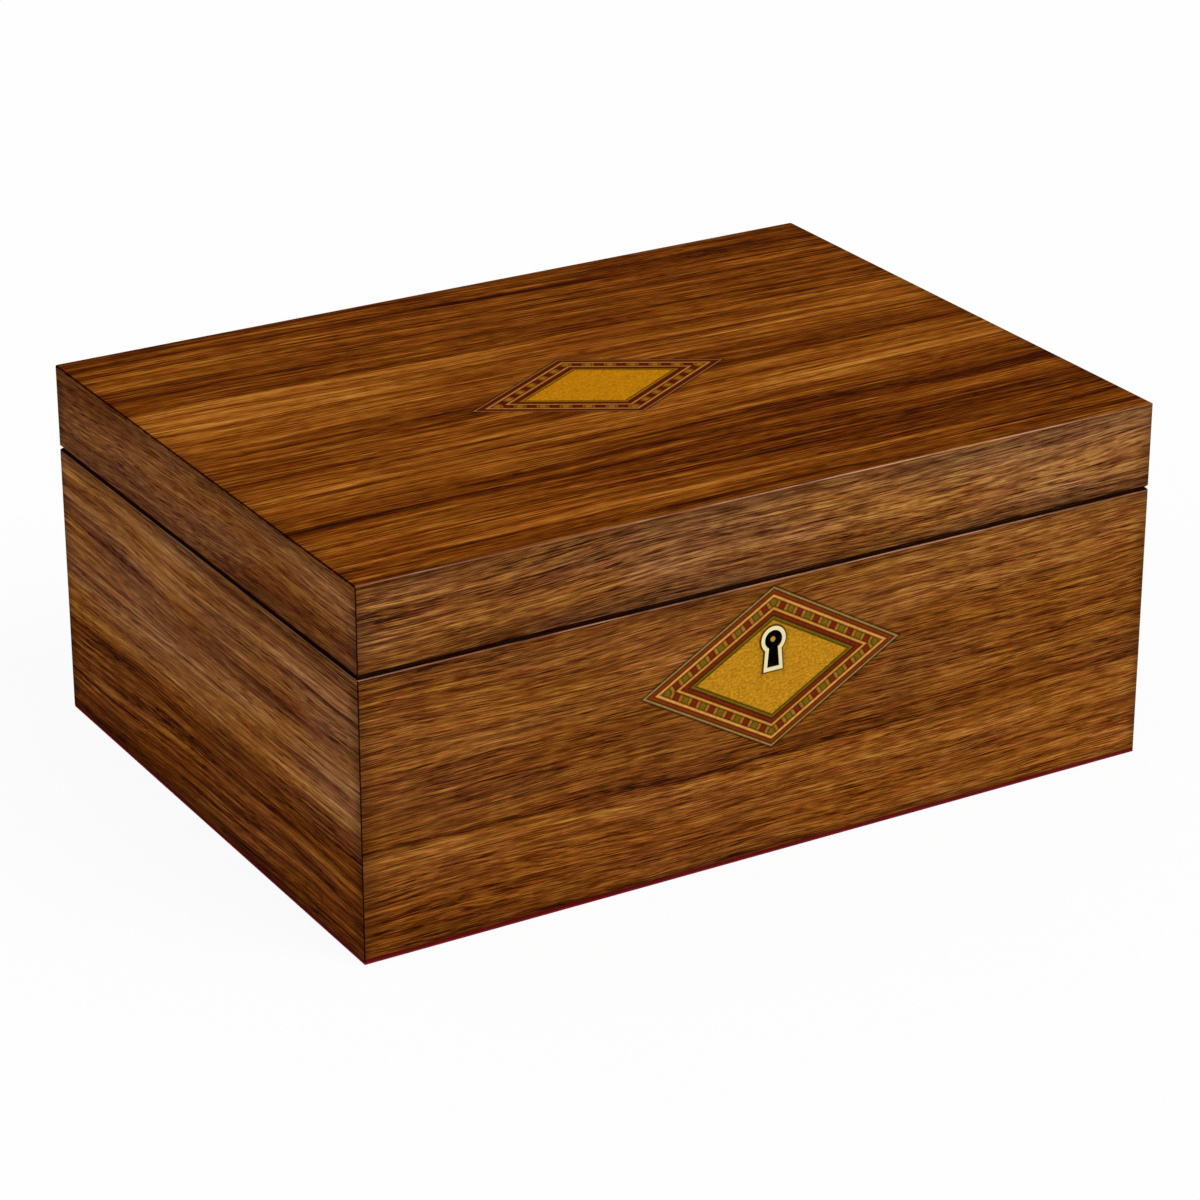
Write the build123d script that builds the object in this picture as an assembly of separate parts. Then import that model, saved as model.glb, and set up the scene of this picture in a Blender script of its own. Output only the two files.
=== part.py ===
"""A musical jewelry box in walnut: a case and lid with diamond marquetry, a brass keyhole and box
lock, stop hinges, a sliding velvet tray over lined compartments, and a wind-up comb movement under glass.

Millimetres. The origin is the middle of the felt underside on the table. +X is to the right, seen from
the front, +Y is to the back and +Z is up. The lid is shut and the tray is at the right.
"""

from build123d import *
import os
from math import atan2, cos, degrees, hypot, pi, radians, sin, tan

# How far a cutter runs past a face, or a joined piece into its neighbour
past = 1.0

# Outside of the box, as measured from the photograph
box_width = 292.0
box_depth = 215.0
felt = 0.8
felt_inset = 0.2
case_height = 95.0
lid_gap = 0.3
rail_height = 28.5
veneer = 0.7
wall = 12.0
seam_chamfer = 0.8
corner_chamfer = 0.5
lid_round = 0.4

# Boards let into the walls
rebate = 4.0
bottom_board = 9.0
lid_board = 7.0

# Marquetry diamond: half diagonals, then the width of each band from the outside in
diamond_half_width = 48.0
diamond_half_height = 27.7
front_diamond_height = 65.4
lid_diamond_forward = 1.3
green_line = 0.85
red_band = 1.4
gold_string = 1.15
block_band = 2.6
inner_gold_string = 1.1
inner_red_band = 1.5
inner_green_line = 1.2
red_block = 2.2
green_block = 2.4
block_length = 3.0
steps_per_side = 12

# Keyhole and its brass lining
keyhole_height = 75.0
keyhole_radius = 3.2
keyhole_slot_top = 3.1
keyhole_slot_bottom = 4.5
keyhole_drop = 9.3
lining_rim = 1.35
lining_depth = 3.0
lining_proud = 0.3

# Box lock in the front wall, and the plate in the lid that it holds
lock_width = 60.0
lock_drop = 34.0
lock_plate = 1.2
lock_depth = 8.0
works_width = 46.0
works_drop = 30.0
cap_skin = 0.8
bolt_thick = 2.0
bolt_bar_height = 9.0
finger_length = 6.4
finger_height = 2.2
finger_post = 1.8
staple_spacing = 24.0
staple_thick = 1.6
staple_width = 5.0
staple_eye_width = 2.8
staple_eye_height = 3.4
staple_foot = 1.4
staple_neck = 0.6
bolt_gap = 0.4
slot_margin = 0.5
drill_pin_radius = 0.9
drill_pin_reach = 0.1
strike_depth = 8.0
strike_width = 48.0
strike_screw_spacing = 38.4
screw_radius = 1.0
screw_head_radius = 1.9
screw_head = 0.8
screw_length = 7.0
screw_clearance = 0.05
screw_slot_width = 0.5
screw_slot_depth = 0.35
countersink_room = 0.2
countersink_rise = 0.1

# Stop hinges on the back
hinge_width = 38.0
hinge_spacing = 170.0
hinge_offset = 1.5
hinge_leaf = 1.0
hinge_reach = 9.0
knuckle_radius = 2.1
knuckle_count = 5
hinge_pin_radius = 1.0
running = 0.05
knuckle_gap = 0.2
barrel_clearance = 0.3
heel_back_gap = 0.2
heel_reach = 4.8
hinge_screws = 3
hinge_screw_line = 4.05
mortise_room = 0.1

# Lid lining, mirror and its frame
lid_pad = 2.0
lining_gap = 0.3
mirror_width = 206.0
mirror_depth = 130.0
mirror_thick = 3.0
bead_width = 10.0
bead_height = 5.0
bead_lap = 2.0
bead_round = 1.5

# Lining and lower compartments
wall_lining = 1.0
lining_drop = 2.0
divider_y = -18.0
partition_thick = 5.0
partition_height = 41.0
floor_pad = 2.0
pad_round = 0.8
runner_height = 5.0
runner_width = 7.0
runner_top = 48.0

# Sliding tray
tray_width = 132.0
tray_side_gap = 0.4
tray_seat_gap = 0.2
tray_wall = 4.0
tray_height = 30.0
tray_board = 3.0
tray_pad = 1.5
tray_divider_y = 8.0
tray_divider_x_from_left = 66.0
tray_divider_thick = 3.0
tray_divider_height = 20.0
notch_radius = 13.0
notch_depth = 9.0
roll_count = 6
roll_gap = 0.8
roll_height = 15.0
roll_end_round = 2.0

# Movement: its clearances in its compartment, then its plate, drum, comb and train
movement_side_gap = 5.0
movement_back_gap = 6.5
movement_front_gap = 5.5
movement_partition_gap = 3.5
plate_length = 78.0
plate_depth = 56.0
plate_thick = 2.5
plate_hole_inset = 4.5
axis_y = 5.0
axis_height = 13.0
drum_radius = 7.0
drum_left = -7.5
drum_length = 24.0
drum_end_gap = 0.4
drum_margin = 1.0
arbor_radius = 1.0
pin_size = 0.45
pin_height = 0.4
note_count = 18
pins_per_note = 4
pin_stagger = 47.0
comb_gap = 0.65
comb_thick = 1.2
tooth_length = 12.0
comb_body = 8.0
comb_margin = 4.0
tooth_slit = 0.4
comb_screw_spacing = 10.0
post_thick = 1.4
post_radius = 3.0
cock_width = 5.0
tooth_module = 0.5
drum_wheel_teeth = 40
train_pinion_teeth = 10
train_drop = 6.0
wheel_thick = 2.0
wheel_boss_radius = 2.0
worm_module = 0.6
worm_wheel_teeth = 18
worm_radius = 1.8
worm_core = 1.1
worm_turns = 4
thread_root = 0.75
thread_tip = 0.3
thread_height = 0.42
thread_sink = 0.2
fan_radius = 5.2
fan_blade = 0.6
fan_height = 4.5
fan_clear = 1.4
pivot_radius = 0.6
pivot_depth = 1.0
backlash = 0.3
addendum = 0.8
dedendum = 1.1
flank_angle = 20.0

# Spring barrel, its crown teeth and the winding key under it
barrel_x = -24.0
crown_module = 0.8
crown_teeth = 28
crown_pinion_teeth = 10
crown_face = 2.4
barrel_radius = 12.4
barrel_skin = 1.0
barrel_foot = 0.5
winding_arbor_radius = 1.6
key_well_radius = 19.0
key_well_roof = 2.6
key_wing_length = 26.0
key_wing_height = 5.0
key_wing_thick = 2.4
key_hub_radius = 3.6
key_clear = 0.8
spring_turns = 5
spring_strip = 0.4
spring_steps = 24
winding_arbor_end = 0.4

# Glass over the movement, and the rod that the lid presses to stop the music
glass = 2.0
glass_ledge = 4.0
glass_margin = 0.3
glass_drop = 0.5
rod_radius = 1.2
rod_inset = 3.2
rod_head_radius = 2.2
rod_head = 1.6
rod_touch = 0.3
guide_size = 6.0
guide_length = 15.0
guide_gap = 1.0
brake_arm = 1.2
brake_touch = 0.2
brake_overlap = 2.0

# Heights and places that follow from the sizes above
half_width = box_width / 2
half_depth = box_depth / 2
case_top = felt + case_height
lid_bottom = case_top + lid_gap
rail_top = lid_bottom + rail_height
lid_top = rail_top + veneer
inner_x = half_width - wall
inner_y = half_depth - wall
lined_x = inner_x - wall_lining
lined_y = inner_y - wall_lining
movement_x = -lined_x + movement_side_gap + plate_length / 2
movement_y = lined_y - movement_back_gap - plate_depth / 2
partition_left = movement_x + plate_length / 2 + movement_partition_gap
partition_right = partition_left + partition_thick
cross_high = movement_y - plate_depth / 2 - movement_front_gap
cross_low = cross_high - partition_thick
floor = felt + bottom_board
board_bottom = rail_top - lid_board
lining_bottom = board_bottom - lid_pad
runner_level = floor + runner_top
tray_bottom = runner_level + tray_seat_gap
tray_right = lined_x - tray_side_gap
tray_left = tray_right - tray_width
tray_side = lined_y - tray_side_gap
hinge_y = half_depth + hinge_offset
hinge_z = case_top + lid_gap / 2


def block(x, y, z):
    """A box from the low and high value on each axis."""
    middle = [(low + high) / 2 for low, high in (x, y, z)]
    return Pos(*middle) * Box(*[high - low for low, high in (x, y, z)])


def prism(points, axis, low, high):
    """A closed outline drawn across an axis, and extruded along it from low to high."""
    planes = {
        "X": Plane(origin=(low, 0, 0), x_dir=(0, 1, 0), z_dir=(1, 0, 0)),
        "Y": Plane(origin=(0, high, 0), x_dir=(1, 0, 0), z_dir=(0, -1, 0)),
        "Z": Plane(origin=(0, 0, low), x_dir=(1, 0, 0), z_dir=(0, 0, 1)),
    }
    return extrude(planes[axis] * make_face(Polyline(*points, close=True)), high - low)


def rod(axis, at, low, high, radius):
    """A round bar along an axis, through a point given on the other two axes."""
    middle = (low + high) / 2
    bar = Cylinder(radius, high - low)
    if axis == "X":
        return Pos(middle, at[0], at[1]) * Rot(0, 90, 0) * bar
    if axis == "Y":
        return Pos(at[0], middle, at[1]) * Rot(90, 0, 0) * bar
    return Pos(at[0], at[1], middle) * bar


def group(pieces):
    """Several separate solids as one node."""
    return Compound(children=[piece.solid() for piece in pieces])


# Case and lid walls


def wall_outline(length, depth):
    """The front wall from above: mitred ends, with the outer corners taken off."""
    x, y, c = length / 2, depth / 2, corner_chamfer
    right = [(x - c, -y), (x - c / 2, -y + c / 2), (x - wall, -y + wall)]
    left = [(-px, py) for px, py in reversed(right)]
    return right + left


def mitred_wall(side, low, high, seam, board_low, board_high):
    """One wall of the case or lid, chamfered outside at the seam and rebated inside for its board."""
    across = side in ("front", "back")
    length, depth = (box_width, box_depth) if across else (box_depth, box_width)
    piece = prism(wall_outline(length, depth), "Z", low, high)
    edge = -depth / 2
    step = seam_chamfer if seam == high else -seam_chamfer
    slope = [
        (edge - seam_chamfer, seam - 2 * step),
        (edge + 2 * seam_chamfer, seam + step),
        (edge - seam_chamfer, seam + step),
    ]
    piece -= prism(slope, "X", -length, length)
    inner = edge + wall
    piece -= block((-length, length), (inner - rebate, inner + past), (board_low, board_high))
    turn = {"front": 0, "right": 90, "back": 180, "left": 270}[side]
    return Rot(0, 0, turn) * piece


def case_wall(side):
    """A wall of the case, rebated below for the bottom board."""
    return mitred_wall(side, felt, case_top, case_top, felt - past, floor)


def lid_rail(side):
    """A rail of the lid, rebated above for the lid board."""
    return mitred_wall(side, lid_bottom, rail_top, lid_bottom, board_bottom, rail_top + past)


# Keyhole and lock


def keyhole_outline(grow, low, high):
    """The keyhole drawn through the front: a round head over a flared slot, grown all round."""
    head = rod("Y", (0, keyhole_height), low, high, keyhole_radius + grow)
    foot = keyhole_height - keyhole_drop - grow
    waist = keyhole_height - keyhole_radius / 2
    top, bottom = keyhole_slot_top / 2 + grow, keyhole_slot_bottom / 2 + grow
    slot = prism([(-bottom, foot), (bottom, foot), (top, waist), (-top, waist)], "Y", low, high)
    return head + slot


front_face = -half_depth
inner_front = -inner_y
lock_front = inner_front - lock_depth
works_front = lock_front + lock_plate
works_back = inner_front - cap_skin
lock_foot = case_top - lock_drop
works_top = case_top - lock_plate
works_foot = works_top - works_drop
bolt_y = (works_front + works_back) / 2
staple_bottom = works_top - staple_neck - staple_eye_height - staple_foot
eye_middle = staple_bottom + staple_foot + staple_eye_height / 2
staple_places = (-staple_spacing / 2, staple_spacing / 2)
lock_body = works_width / 2 + lock_plate
lock_screw_x = (lock_width / 2 + lock_body) / 2


def screw(x, y, z, turn, length=screw_length):
    """A countersunk wood screw whose head lies flush at a point; turned, it points from -Z to its way."""
    shank = rod("Z", (0, 0), -length, -screw_head, screw_radius)
    head = Pos(0, 0, -screw_head / 2) * Cone(screw_radius, screw_head_radius, screw_head)
    half_slot = screw_slot_width / 2
    slot = block((-screw_head_radius, screw_head_radius), (-half_slot, half_slot), (-screw_slot_depth, past))
    return Pos(x, y, z) * turn * (shank + head - slot)


def screw_hole(x, y, z, turn, length=screw_length):
    """The pilot hole and countersink that take a screw at the same place."""
    room = screw_clearance
    shank = rod("Z", (0, 0), -length - room, past, screw_radius + room)
    top_radius = screw_head_radius + countersink_room
    head = Cone(screw_radius + room, top_radius, screw_head + countersink_rise)
    head = Pos(0, 0, (countersink_rise - screw_head) / 2) * head
    return Pos(x, y, z) * turn * (shank + head)


# A screw is drawn pointing down, and turned over where it points up
down = Rot(0, 0, 0)
up = Rot(180, 0, 0)
lock_middle = (lock_front + inner_front) / 2
lock_screw_places = [(x, lock_middle, case_top, down) for x in (-lock_screw_x, lock_screw_x)]


def make_lock_case():
    """The brass lock case: a box with the works inside, slots for the staples and a keyhole in front."""
    side, works = lock_width / 2, works_width / 2
    shell = block((-side, side), (lock_front, inner_front), (works_top, case_top))
    shell += block((-lock_body, lock_body), (lock_front, inner_front), (lock_foot, case_top))
    shell -= block((-works, works), (works_front, works_back), (works_foot, works_top))
    for x in staple_places:
        half = staple_thick / 2 + slot_margin
        depth = staple_width / 2 + slot_margin
        high = (works_top - past, case_top + past)
        shell -= block((x - half, x + half), (bolt_y - depth, bolt_y + depth), high)
    for place in lock_screw_places:
        shell -= screw_hole(*place)
    return shell - keyhole_outline(0, lock_front - past, works_front + past)


def make_lock_bolt():
    """The sliding bolt: a bar with two upright posts whose fingers enter the staple eyes."""
    finger_tip = staple_thick / 2 + bolt_gap
    low_y, high_y = bolt_y - bolt_thick / 2, bolt_y + bolt_thick / 2
    bar_top = staple_bottom - bolt_gap
    left = staple_places[0] - finger_tip - finger_length
    right = staple_places[1] - finger_tip
    bolt = block((left, right), (low_y, high_y), (bar_top - bolt_bar_height, bar_top))
    for x in staple_places:
        tip = x - finger_tip
        finger_top = eye_middle + finger_height / 2
        start = tip - finger_length
        bolt += block((start, tip), (low_y, high_y), (finger_top - finger_height, finger_top))
        bolt += block((start, start + finger_post), (low_y, high_y), (bar_top - past, finger_top))
    return bolt


def make_drill_pin():
    """The round pin in the keyhole that a hollow key turns on."""
    tip = front_face + drill_pin_reach
    return rod("Y", (0, keyhole_height), tip, works_back, drill_pin_radius)


def make_strike_plate():
    """The brass plate in the front lid rail, with two eyed staples that drop into the lock."""
    side = strike_width / 2
    back = strike_depth / 2
    plate = block((-side, side), (bolt_y - back, bolt_y + back), (lid_bottom, lid_bottom + lock_plate))
    for x in staple_places:
        thick = (x - staple_thick / 2, x + staple_thick / 2)
        wide = (bolt_y - staple_width / 2, bolt_y + staple_width / 2)
        eye_wide = (bolt_y - staple_eye_width / 2, bolt_y + staple_eye_width / 2)
        eye_high = (eye_middle - staple_eye_height / 2, eye_middle + staple_eye_height / 2)
        plate += block(thick, wide, (staple_bottom, lid_bottom + lock_plate))
        plate -= block(thick, eye_wide, eye_high)
    for place in strike_screw_places:
        plate -= screw_hole(*place)
    return plate


strike_screw_x = strike_screw_spacing / 2
strike_screw_places = [(x, bolt_y, lid_bottom, up) for x in (-strike_screw_x, strike_screw_x)]

# Hinges

hinge_places = (-hinge_spacing / 2, hinge_spacing / 2)
heel_inner = half_depth + heel_back_gap
heel_outer = hinge_y + knuckle_radius
leaf_front = half_depth - hinge_reach


def knuckle_spans(x, owner):
    """The stretches of one hinge's barrel that belong to the case leaf (0) or the lid leaf (1)."""
    pitch = hinge_width / knuckle_count
    spans = []
    for index in range(owner, knuckle_count, 2):
        low = x - hinge_width / 2 + index * pitch
        spans.append((low + knuckle_gap / 2, low + pitch - knuckle_gap / 2))
    return spans


def make_leaves(owner):
    """Both leaves of the case (owner 0) or the lid (owner 1), with knuckles, stop heels and screw holes."""
    way = 1 if owner else -1
    face = lid_bottom if owner else case_top
    leaves = []
    for x in hinge_places:
        ends = (x - hinge_width / 2 + knuckle_gap / 2, x + hinge_width / 2 - knuckle_gap / 2)
        across = sorted((face, face + way * hinge_leaf))
        leaf = block(ends, (leaf_front, half_depth - hinge_offset), across)
        heel = sorted((hinge_z + way * (knuckle_radius + barrel_clearance), hinge_z + way * heel_reach))
        leaf += block(ends, (heel_inner, heel_outer), heel)
        for span in knuckle_spans(x, owner):
            leaf += block(span, (half_depth - hinge_offset, hinge_y), across)
            leaf += block(span, (heel_inner, heel_outer), sorted((hinge_z, hinge_z + way * heel_reach)))
            leaf += rod("X", (hinge_y, hinge_z), *span, knuckle_radius)
        for place in hinge_screw_places(x, owner):
            leaf -= screw_hole(*place)
        leaf -= rod("X", (hinge_y, hinge_z), x - hinge_width, x + hinge_width, hinge_pin_radius + running)
        leaves.append(leaf)
    return group(leaves)


def hinge_screw_places(x, owner):
    """The screws of one leaf, in a line along its middle."""
    face, turn = (lid_bottom, up) if owner else (case_top, down)
    pitch = hinge_width / hinge_screws
    line = leaf_front + hinge_screw_line
    first = x - pitch * (hinge_screws - 1) / 2
    return [(first + pitch * index, line, face, turn) for index in range(hinge_screws)]


def cut_hinge_mortises(piece, owner):
    """The leaf mortises, barrel clearance and screw holes in the back wall or rail."""
    way = 1 if owner else -1
    face = lid_bottom if owner else case_top
    for x in hinge_places:
        ends = (x - hinge_width / 2, x + hinge_width / 2)
        deep = sorted((face - way * past, face + way * hinge_leaf))
        piece -= block(ends, (leaf_front - mortise_room, half_depth + past), deep)
        piece -= rod("X", (hinge_y, hinge_z), *ends, knuckle_radius + barrel_clearance)
        for place in hinge_screw_places(x, owner):
            piece -= screw_hole(*place)
    return piece


# Marquetry

diamond_side = hypot(diamond_half_width, diamond_half_height)
diamond_reach = diamond_half_width * diamond_half_height / diamond_side

# The bands from the outside in: the wood of each, or blocks of several woods, and its width
bands = (
    ("green", green_line),
    ("red", red_band),
    ("gold", gold_string),
    ("blocks", block_band),
    ("gold", inner_gold_string),
    ("red", inner_red_band),
    ("green", inner_green_line),
)


def diamond(inset):
    """The diamond inside an inset, as an inlay whose face lies at zero."""
    scale = 1 - inset / diamond_reach
    x, y = diamond_half_width * scale, diamond_half_height * scale
    return prism([(x, 0), (0, y), (-x, 0), (0, -y)], "Z", -veneer, 0)


def band_blocks(inset, steps, width):
    """Blocks square across a band whose middle has an inset, at the given steps from each pointed corner."""
    scale = 1 - inset / diamond_reach
    x, y = diamond_half_width * scale, diamond_half_height * scale
    blocks = []
    for flip_x in (1, -1):
        for flip_y in (1, -1):
            angle = degrees(atan2(flip_y * y, -flip_x * x))
            for step in steps:
                share = step / steps_per_side
                place = Pos(flip_x * x * (1 - share), flip_y * y * share, -veneer / 2)
                blocks.append(place * Rot(0, 0, angle) * Box(width, block_length, veneer))
    return Part() + blocks


def make_inlay(place, keyhole=None):
    """The five woods of one diamond: field, green, red, gold and light pieces."""
    woods = {wood: [] for wood in ("field", "green", "red", "gold", "light")}
    inset = 0
    for wood, width in bands:
        ring = diamond(inset) - diamond(inset + width)
        if wood == "blocks":
            middle = inset + width / 2
            red_blocks = ring & band_blocks(middle, range(1, steps_per_side, 2), red_block)
            green_blocks = ring & band_blocks(middle, range(0, steps_per_side + 1, 2), green_block)
            woods["red"] += red_blocks.solids()
            woods["green"] += green_blocks.solids()
            woods["light"] += (ring - red_blocks - green_blocks).solids()
        else:
            woods[wood].append(ring)
        inset += width
    woods["field"].append(diamond(inset))
    placed = {wood: [place * piece for piece in pieces] for wood, pieces in woods.items()}
    if keyhole is not None:
        placed["field"] = [placed["field"][0] - keyhole]
    return {wood: group(pieces) for wood, pieces in placed.items()}


front_place = Pos(0, front_face, front_diamond_height) * Rot(90, 0, 0)
lid_place = Pos(0, -lid_diamond_forward, lid_top)

# Case pieces

key_x = movement_x + barrel_x
key_y = movement_y + axis_y
key_well_top = floor - key_well_roof
plate_hole_x = plate_length / 2 - plate_hole_inset
plate_hole_y = plate_depth / 2 - plate_hole_inset
movement_screw_places = [
    (movement_x + x, movement_y + y)
    for x in (-plate_hole_x, plate_hole_x)
    for y in (-plate_hole_y, plate_hole_y)
]


def make_case_front():
    """The front wall, with the lock mortise, the keyhole and the bed of the marquetry."""
    piece = case_wall("front")
    side = lock_width / 2
    deep = (lock_front, inner_front + past)
    piece -= block((-side, side), deep, (works_top, case_top + past))
    piece -= block((-lock_body, lock_body), deep, (lock_foot, case_top + past))
    for place in lock_screw_places:
        piece -= screw_hole(*place)
    piece -= front_place * diamond(0)
    piece -= keyhole_outline(lining_rim, front_face - past, front_face + lining_depth)
    return piece - keyhole_outline(0, front_face - past, lock_front + past)


def make_keyhole_lining():
    """The cast brass lining, pressed in and standing a little proud of the wood."""
    outside = keyhole_outline(lining_rim, front_face - lining_proud, front_face + lining_depth)
    return outside - keyhole_outline(0, front_face - past, front_face + lining_depth + past)


def make_case_bottom():
    """The bottom board, with the well for the winding key and the holes of the movement."""
    x, y = inner_x + rebate, inner_y + rebate
    board = block((-x, x), (-y, y), (felt, floor))
    board -= rod("Z", (key_x, key_y), felt - past, key_well_top, key_well_radius)
    board -= rod("Z", (key_x, key_y), felt, floor + past, winding_arbor_radius + 2 * running)
    for x, y in movement_screw_places:
        board -= screw_hole(x, y, floor + plate_thick, down)
    return board


def make_base_felt():
    """The felt under the whole box, drawn in a little from the walls and cut away at the key."""
    x, y = half_width - felt_inset, half_depth - felt_inset
    sheet = block((-x, x), (-y, y), (0, felt))
    return sheet - rod("Z", (key_x, key_y), -past, felt + past, key_well_radius)


def make_case_lining():
    """Velvet on card round the inside of the walls."""
    top = case_top - lining_drop
    outer = block((-inner_x, inner_x), (-inner_y, inner_y), (floor, top))
    return outer - block((-lined_x, lined_x), (-lined_y, lined_y), (floor - past, top + past))


partition_top = floor + partition_height
divider_low = divider_y - partition_thick / 2
divider_high = divider_y + partition_thick / 2

# Each lined compartment from above: its low and high X and Y
compartments = [
    ((-lined_x, partition_left), (-lined_y, cross_low)),
    ((partition_right, lined_x), (-lined_y, divider_low)),
    ((partition_right, lined_x), (divider_high, lined_y)),
]
ledge_level = partition_top - glass_drop - glass
movement_room = ((-lined_x, partition_left), (cross_high, lined_y))


def pad(x, y, low, high, rounding):
    """A lining pad, a little clear of what stands round it, with its top edge rounded if it has a radius."""
    gap = lining_gap
    piece = block((x[0] + gap, x[1] - gap), (y[0] + gap, y[1] - gap), (low, high))
    return fillet(piece.faces().sort_by(Axis.Z)[-1].edges(), rounding) if rounding else piece


def make_glass_ledges():
    """Two wood strips along the front and back of the movement's compartment that carry the glass."""
    (x_low, x_high), (y_low, y_high) = movement_room
    high = (ledge_level - glass_ledge, ledge_level)
    front = block((x_low, x_high), (y_low, y_low + glass_ledge), high)
    back = block((x_low, x_high), (y_high - glass_ledge, y_high), high)
    return group([front, back])


def make_glass():
    """The pane over the movement, notched at the stop rod."""
    (x_low, x_high), (y_low, y_high) = movement_room
    gap = glass_margin
    level = (ledge_level, ledge_level + glass)
    pane = block((x_low + gap, x_high - gap), (y_low + gap, y_high - gap), level)
    notch = guide_size + gap
    rod_y = rod_place[1]
    return pane - block((x_low - past, x_low + notch), (rod_y - notch, rod_y + notch), (0, case_top))


# Lid pieces


def make_lid_front():
    """The front lid rail, with the mortise of the strike plate."""
    side, back = strike_width / 2, strike_depth / 2
    piece = lid_rail("front")
    deep = (lid_bottom - past, lid_bottom + lock_plate)
    piece -= block((-side, side), (bolt_y - back, bolt_y + back), deep)
    for place in strike_screw_places:
        piece -= screw_hole(*place)
    return piece


def make_lid_veneer():
    """The top veneer, with its edges rounded and the diamond cut out of it."""
    c = corner_chamfer
    corners = [(half_width, half_depth - c), (half_width - c, half_depth)]
    outline = corners + [(-x, y) for x, y in reversed(corners)]
    outline += [(-x, -y) for x, y in corners] + [(x, -y) for x, y in reversed(corners)]
    sheet = prism(outline, "Z", rail_top, lid_top)
    sheet = fillet(sheet.faces().sort_by(Axis.Z)[-1].edges(), lid_round)
    return sheet - lid_place * diamond(0)


def make_mirror_frame():
    """Four mitred beads that hold the mirror to the lid, each with a rounded inner edge."""
    x, y = mirror_width / 2 + bead_width - bead_lap, mirror_depth / 2 + bead_width - bead_lap
    frame = block((-x, x), (-y, y), (lining_bottom - bead_height, lining_bottom))
    x, y = x - bead_width, y - bead_width
    frame -= block((-x, x), (-y, y), (0, lid_top))
    bottom = frame.faces().sort_by(Axis.Z)[0]
    frame = fillet(bottom.edges(), bead_round)
    x, y = mirror_width / 2, mirror_depth / 2
    return frame - block((-x, x), (-y, y), (lining_bottom - mirror_thick, lid_top))


def make_mirror():
    """The mirror glass against the lid lining, inside its rebate."""
    x, y = mirror_width / 2 - lining_gap, mirror_depth / 2 - lining_gap
    return block((-x, x), (-y, y), (lining_bottom - mirror_thick, lining_bottom))


# Tray pieces

tray_top = tray_bottom + tray_height
tray_floor = tray_bottom + tray_board
tray_inner_x = (tray_left + tray_wall, tray_right - tray_wall)
tray_inner_y = (-tray_side + tray_wall, tray_side - tray_wall)
cross_divider = (tray_divider_y - tray_divider_thick / 2, tray_divider_y + tray_divider_thick / 2)
tray_divider_x = tray_left + tray_divider_x_from_left
small_divider = (tray_divider_x - tray_divider_thick / 2, tray_divider_x + tray_divider_thick / 2)


def make_tray_walls():
    """The four tray walls, with a finger notch in the left one."""
    high = (tray_bottom, tray_top)
    front = block((tray_left, tray_right), (-tray_side, -tray_side + tray_wall), high)
    back = block((tray_left, tray_right), (tray_side - tray_wall, tray_side), high)
    left = block((tray_left, tray_inner_x[0]), tray_inner_y, high)
    notch_middle = tray_top + notch_radius - notch_depth
    left -= rod("X", (0, notch_middle), tray_left - past, tray_inner_x[0] + past, notch_radius)
    right = block((tray_inner_x[1], tray_right), tray_inner_y, high)
    return group([front, back, left, right])


def make_tray_dividers():
    """One divider across the tray, and one that halves the back of it."""
    high = (tray_floor, tray_floor + tray_divider_height)
    across = block(tray_inner_x, cross_divider, high)
    return group([across, block(small_divider, (cross_divider[1], tray_inner_y[1]), high)])


def make_ring_rolls():
    """Velvet rolls side by side across the front of the tray: flat below, crowned, drawn in at the ends."""
    room = cross_divider[0] - tray_inner_y[0] - 2 * lining_gap
    pitch = room / roll_count
    radius = (pitch - roll_gap) / 2
    low, high = tray_inner_x[0] + lining_gap, tray_inner_x[1] - lining_gap
    shoulder = tray_floor + roll_height - radius
    rolls = []
    for index in range(roll_count):
        middle = tray_inner_y[0] + lining_gap + pitch * (index + 0.5)
        left, right = middle - radius, middle + radius
        outline = Line((left, tray_floor), (left, shoulder)) + Line((right, tray_floor), (right, shoulder))
        outline += Line((left, tray_floor), (right, tray_floor))
        crown = ThreePointArc((left, shoulder), (middle, tray_floor + roll_height), (right, shoulder))
        plane = Plane(origin=(low, 0, 0), x_dir=(0, 1, 0), z_dir=(1, 0, 0))
        roll = extrude(plane * make_face(outline + crown), high - low)
        ends = roll.faces().sort_by(Axis.X)
        rim = [edge for face in (ends[0], ends[-1]) for edge in face.edges()]
        rim = [edge for edge in rim if edge.center().Z > tray_floor + lining_gap]
        rolls.append(fillet(rim, roll_end_round))
    return group(rolls)


# Movement

plate_bottom = floor
plate_top = floor + plate_thick
axis_z = plate_top + axis_height
drum_y = movement_y + axis_y
drum_low = movement_x + drum_left
drum_high = drum_low + drum_length
crown_radius = crown_module * crown_teeth / 2
crown_pinion_radius = crown_module * crown_pinion_teeth / 2
crown_plane = axis_z - crown_pinion_radius
wheel_radius = tooth_module * drum_wheel_teeth / 2
pinion_radius = tooth_module * train_pinion_teeth / 2
train_distance = wheel_radius + pinion_radius
train_y = drum_y + (train_distance**2 - train_drop**2) ** 0.5
train_z = axis_z - train_drop
train_angle = degrees(atan2(train_z - axis_z, train_y - drum_y))
left_post = (drum_low - drum_end_gap - post_thick, drum_low - drum_end_gap)
wheel_low = drum_high + drum_end_gap
wheel_high = wheel_low + wheel_thick + drum_end_gap
right_post = (wheel_high, wheel_high + post_thick)
worm_wheel_low = right_post[1] + drum_end_gap
worm_wheel_radius = worm_module * worm_wheel_teeth / 2
worm_x = worm_wheel_low + wheel_thick / 2
worm_y = train_y + worm_wheel_radius + worm_radius
worm_wheel_high = worm_wheel_low + wheel_thick + drum_end_gap
train_post = (worm_wheel_high, worm_wheel_high + post_thick)
worm_pitch = pi * worm_module
worm_half = worm_turns * worm_pitch / 2
fan_low = train_z + worm_half + fan_clear
fan_high = fan_low + fan_height
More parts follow.
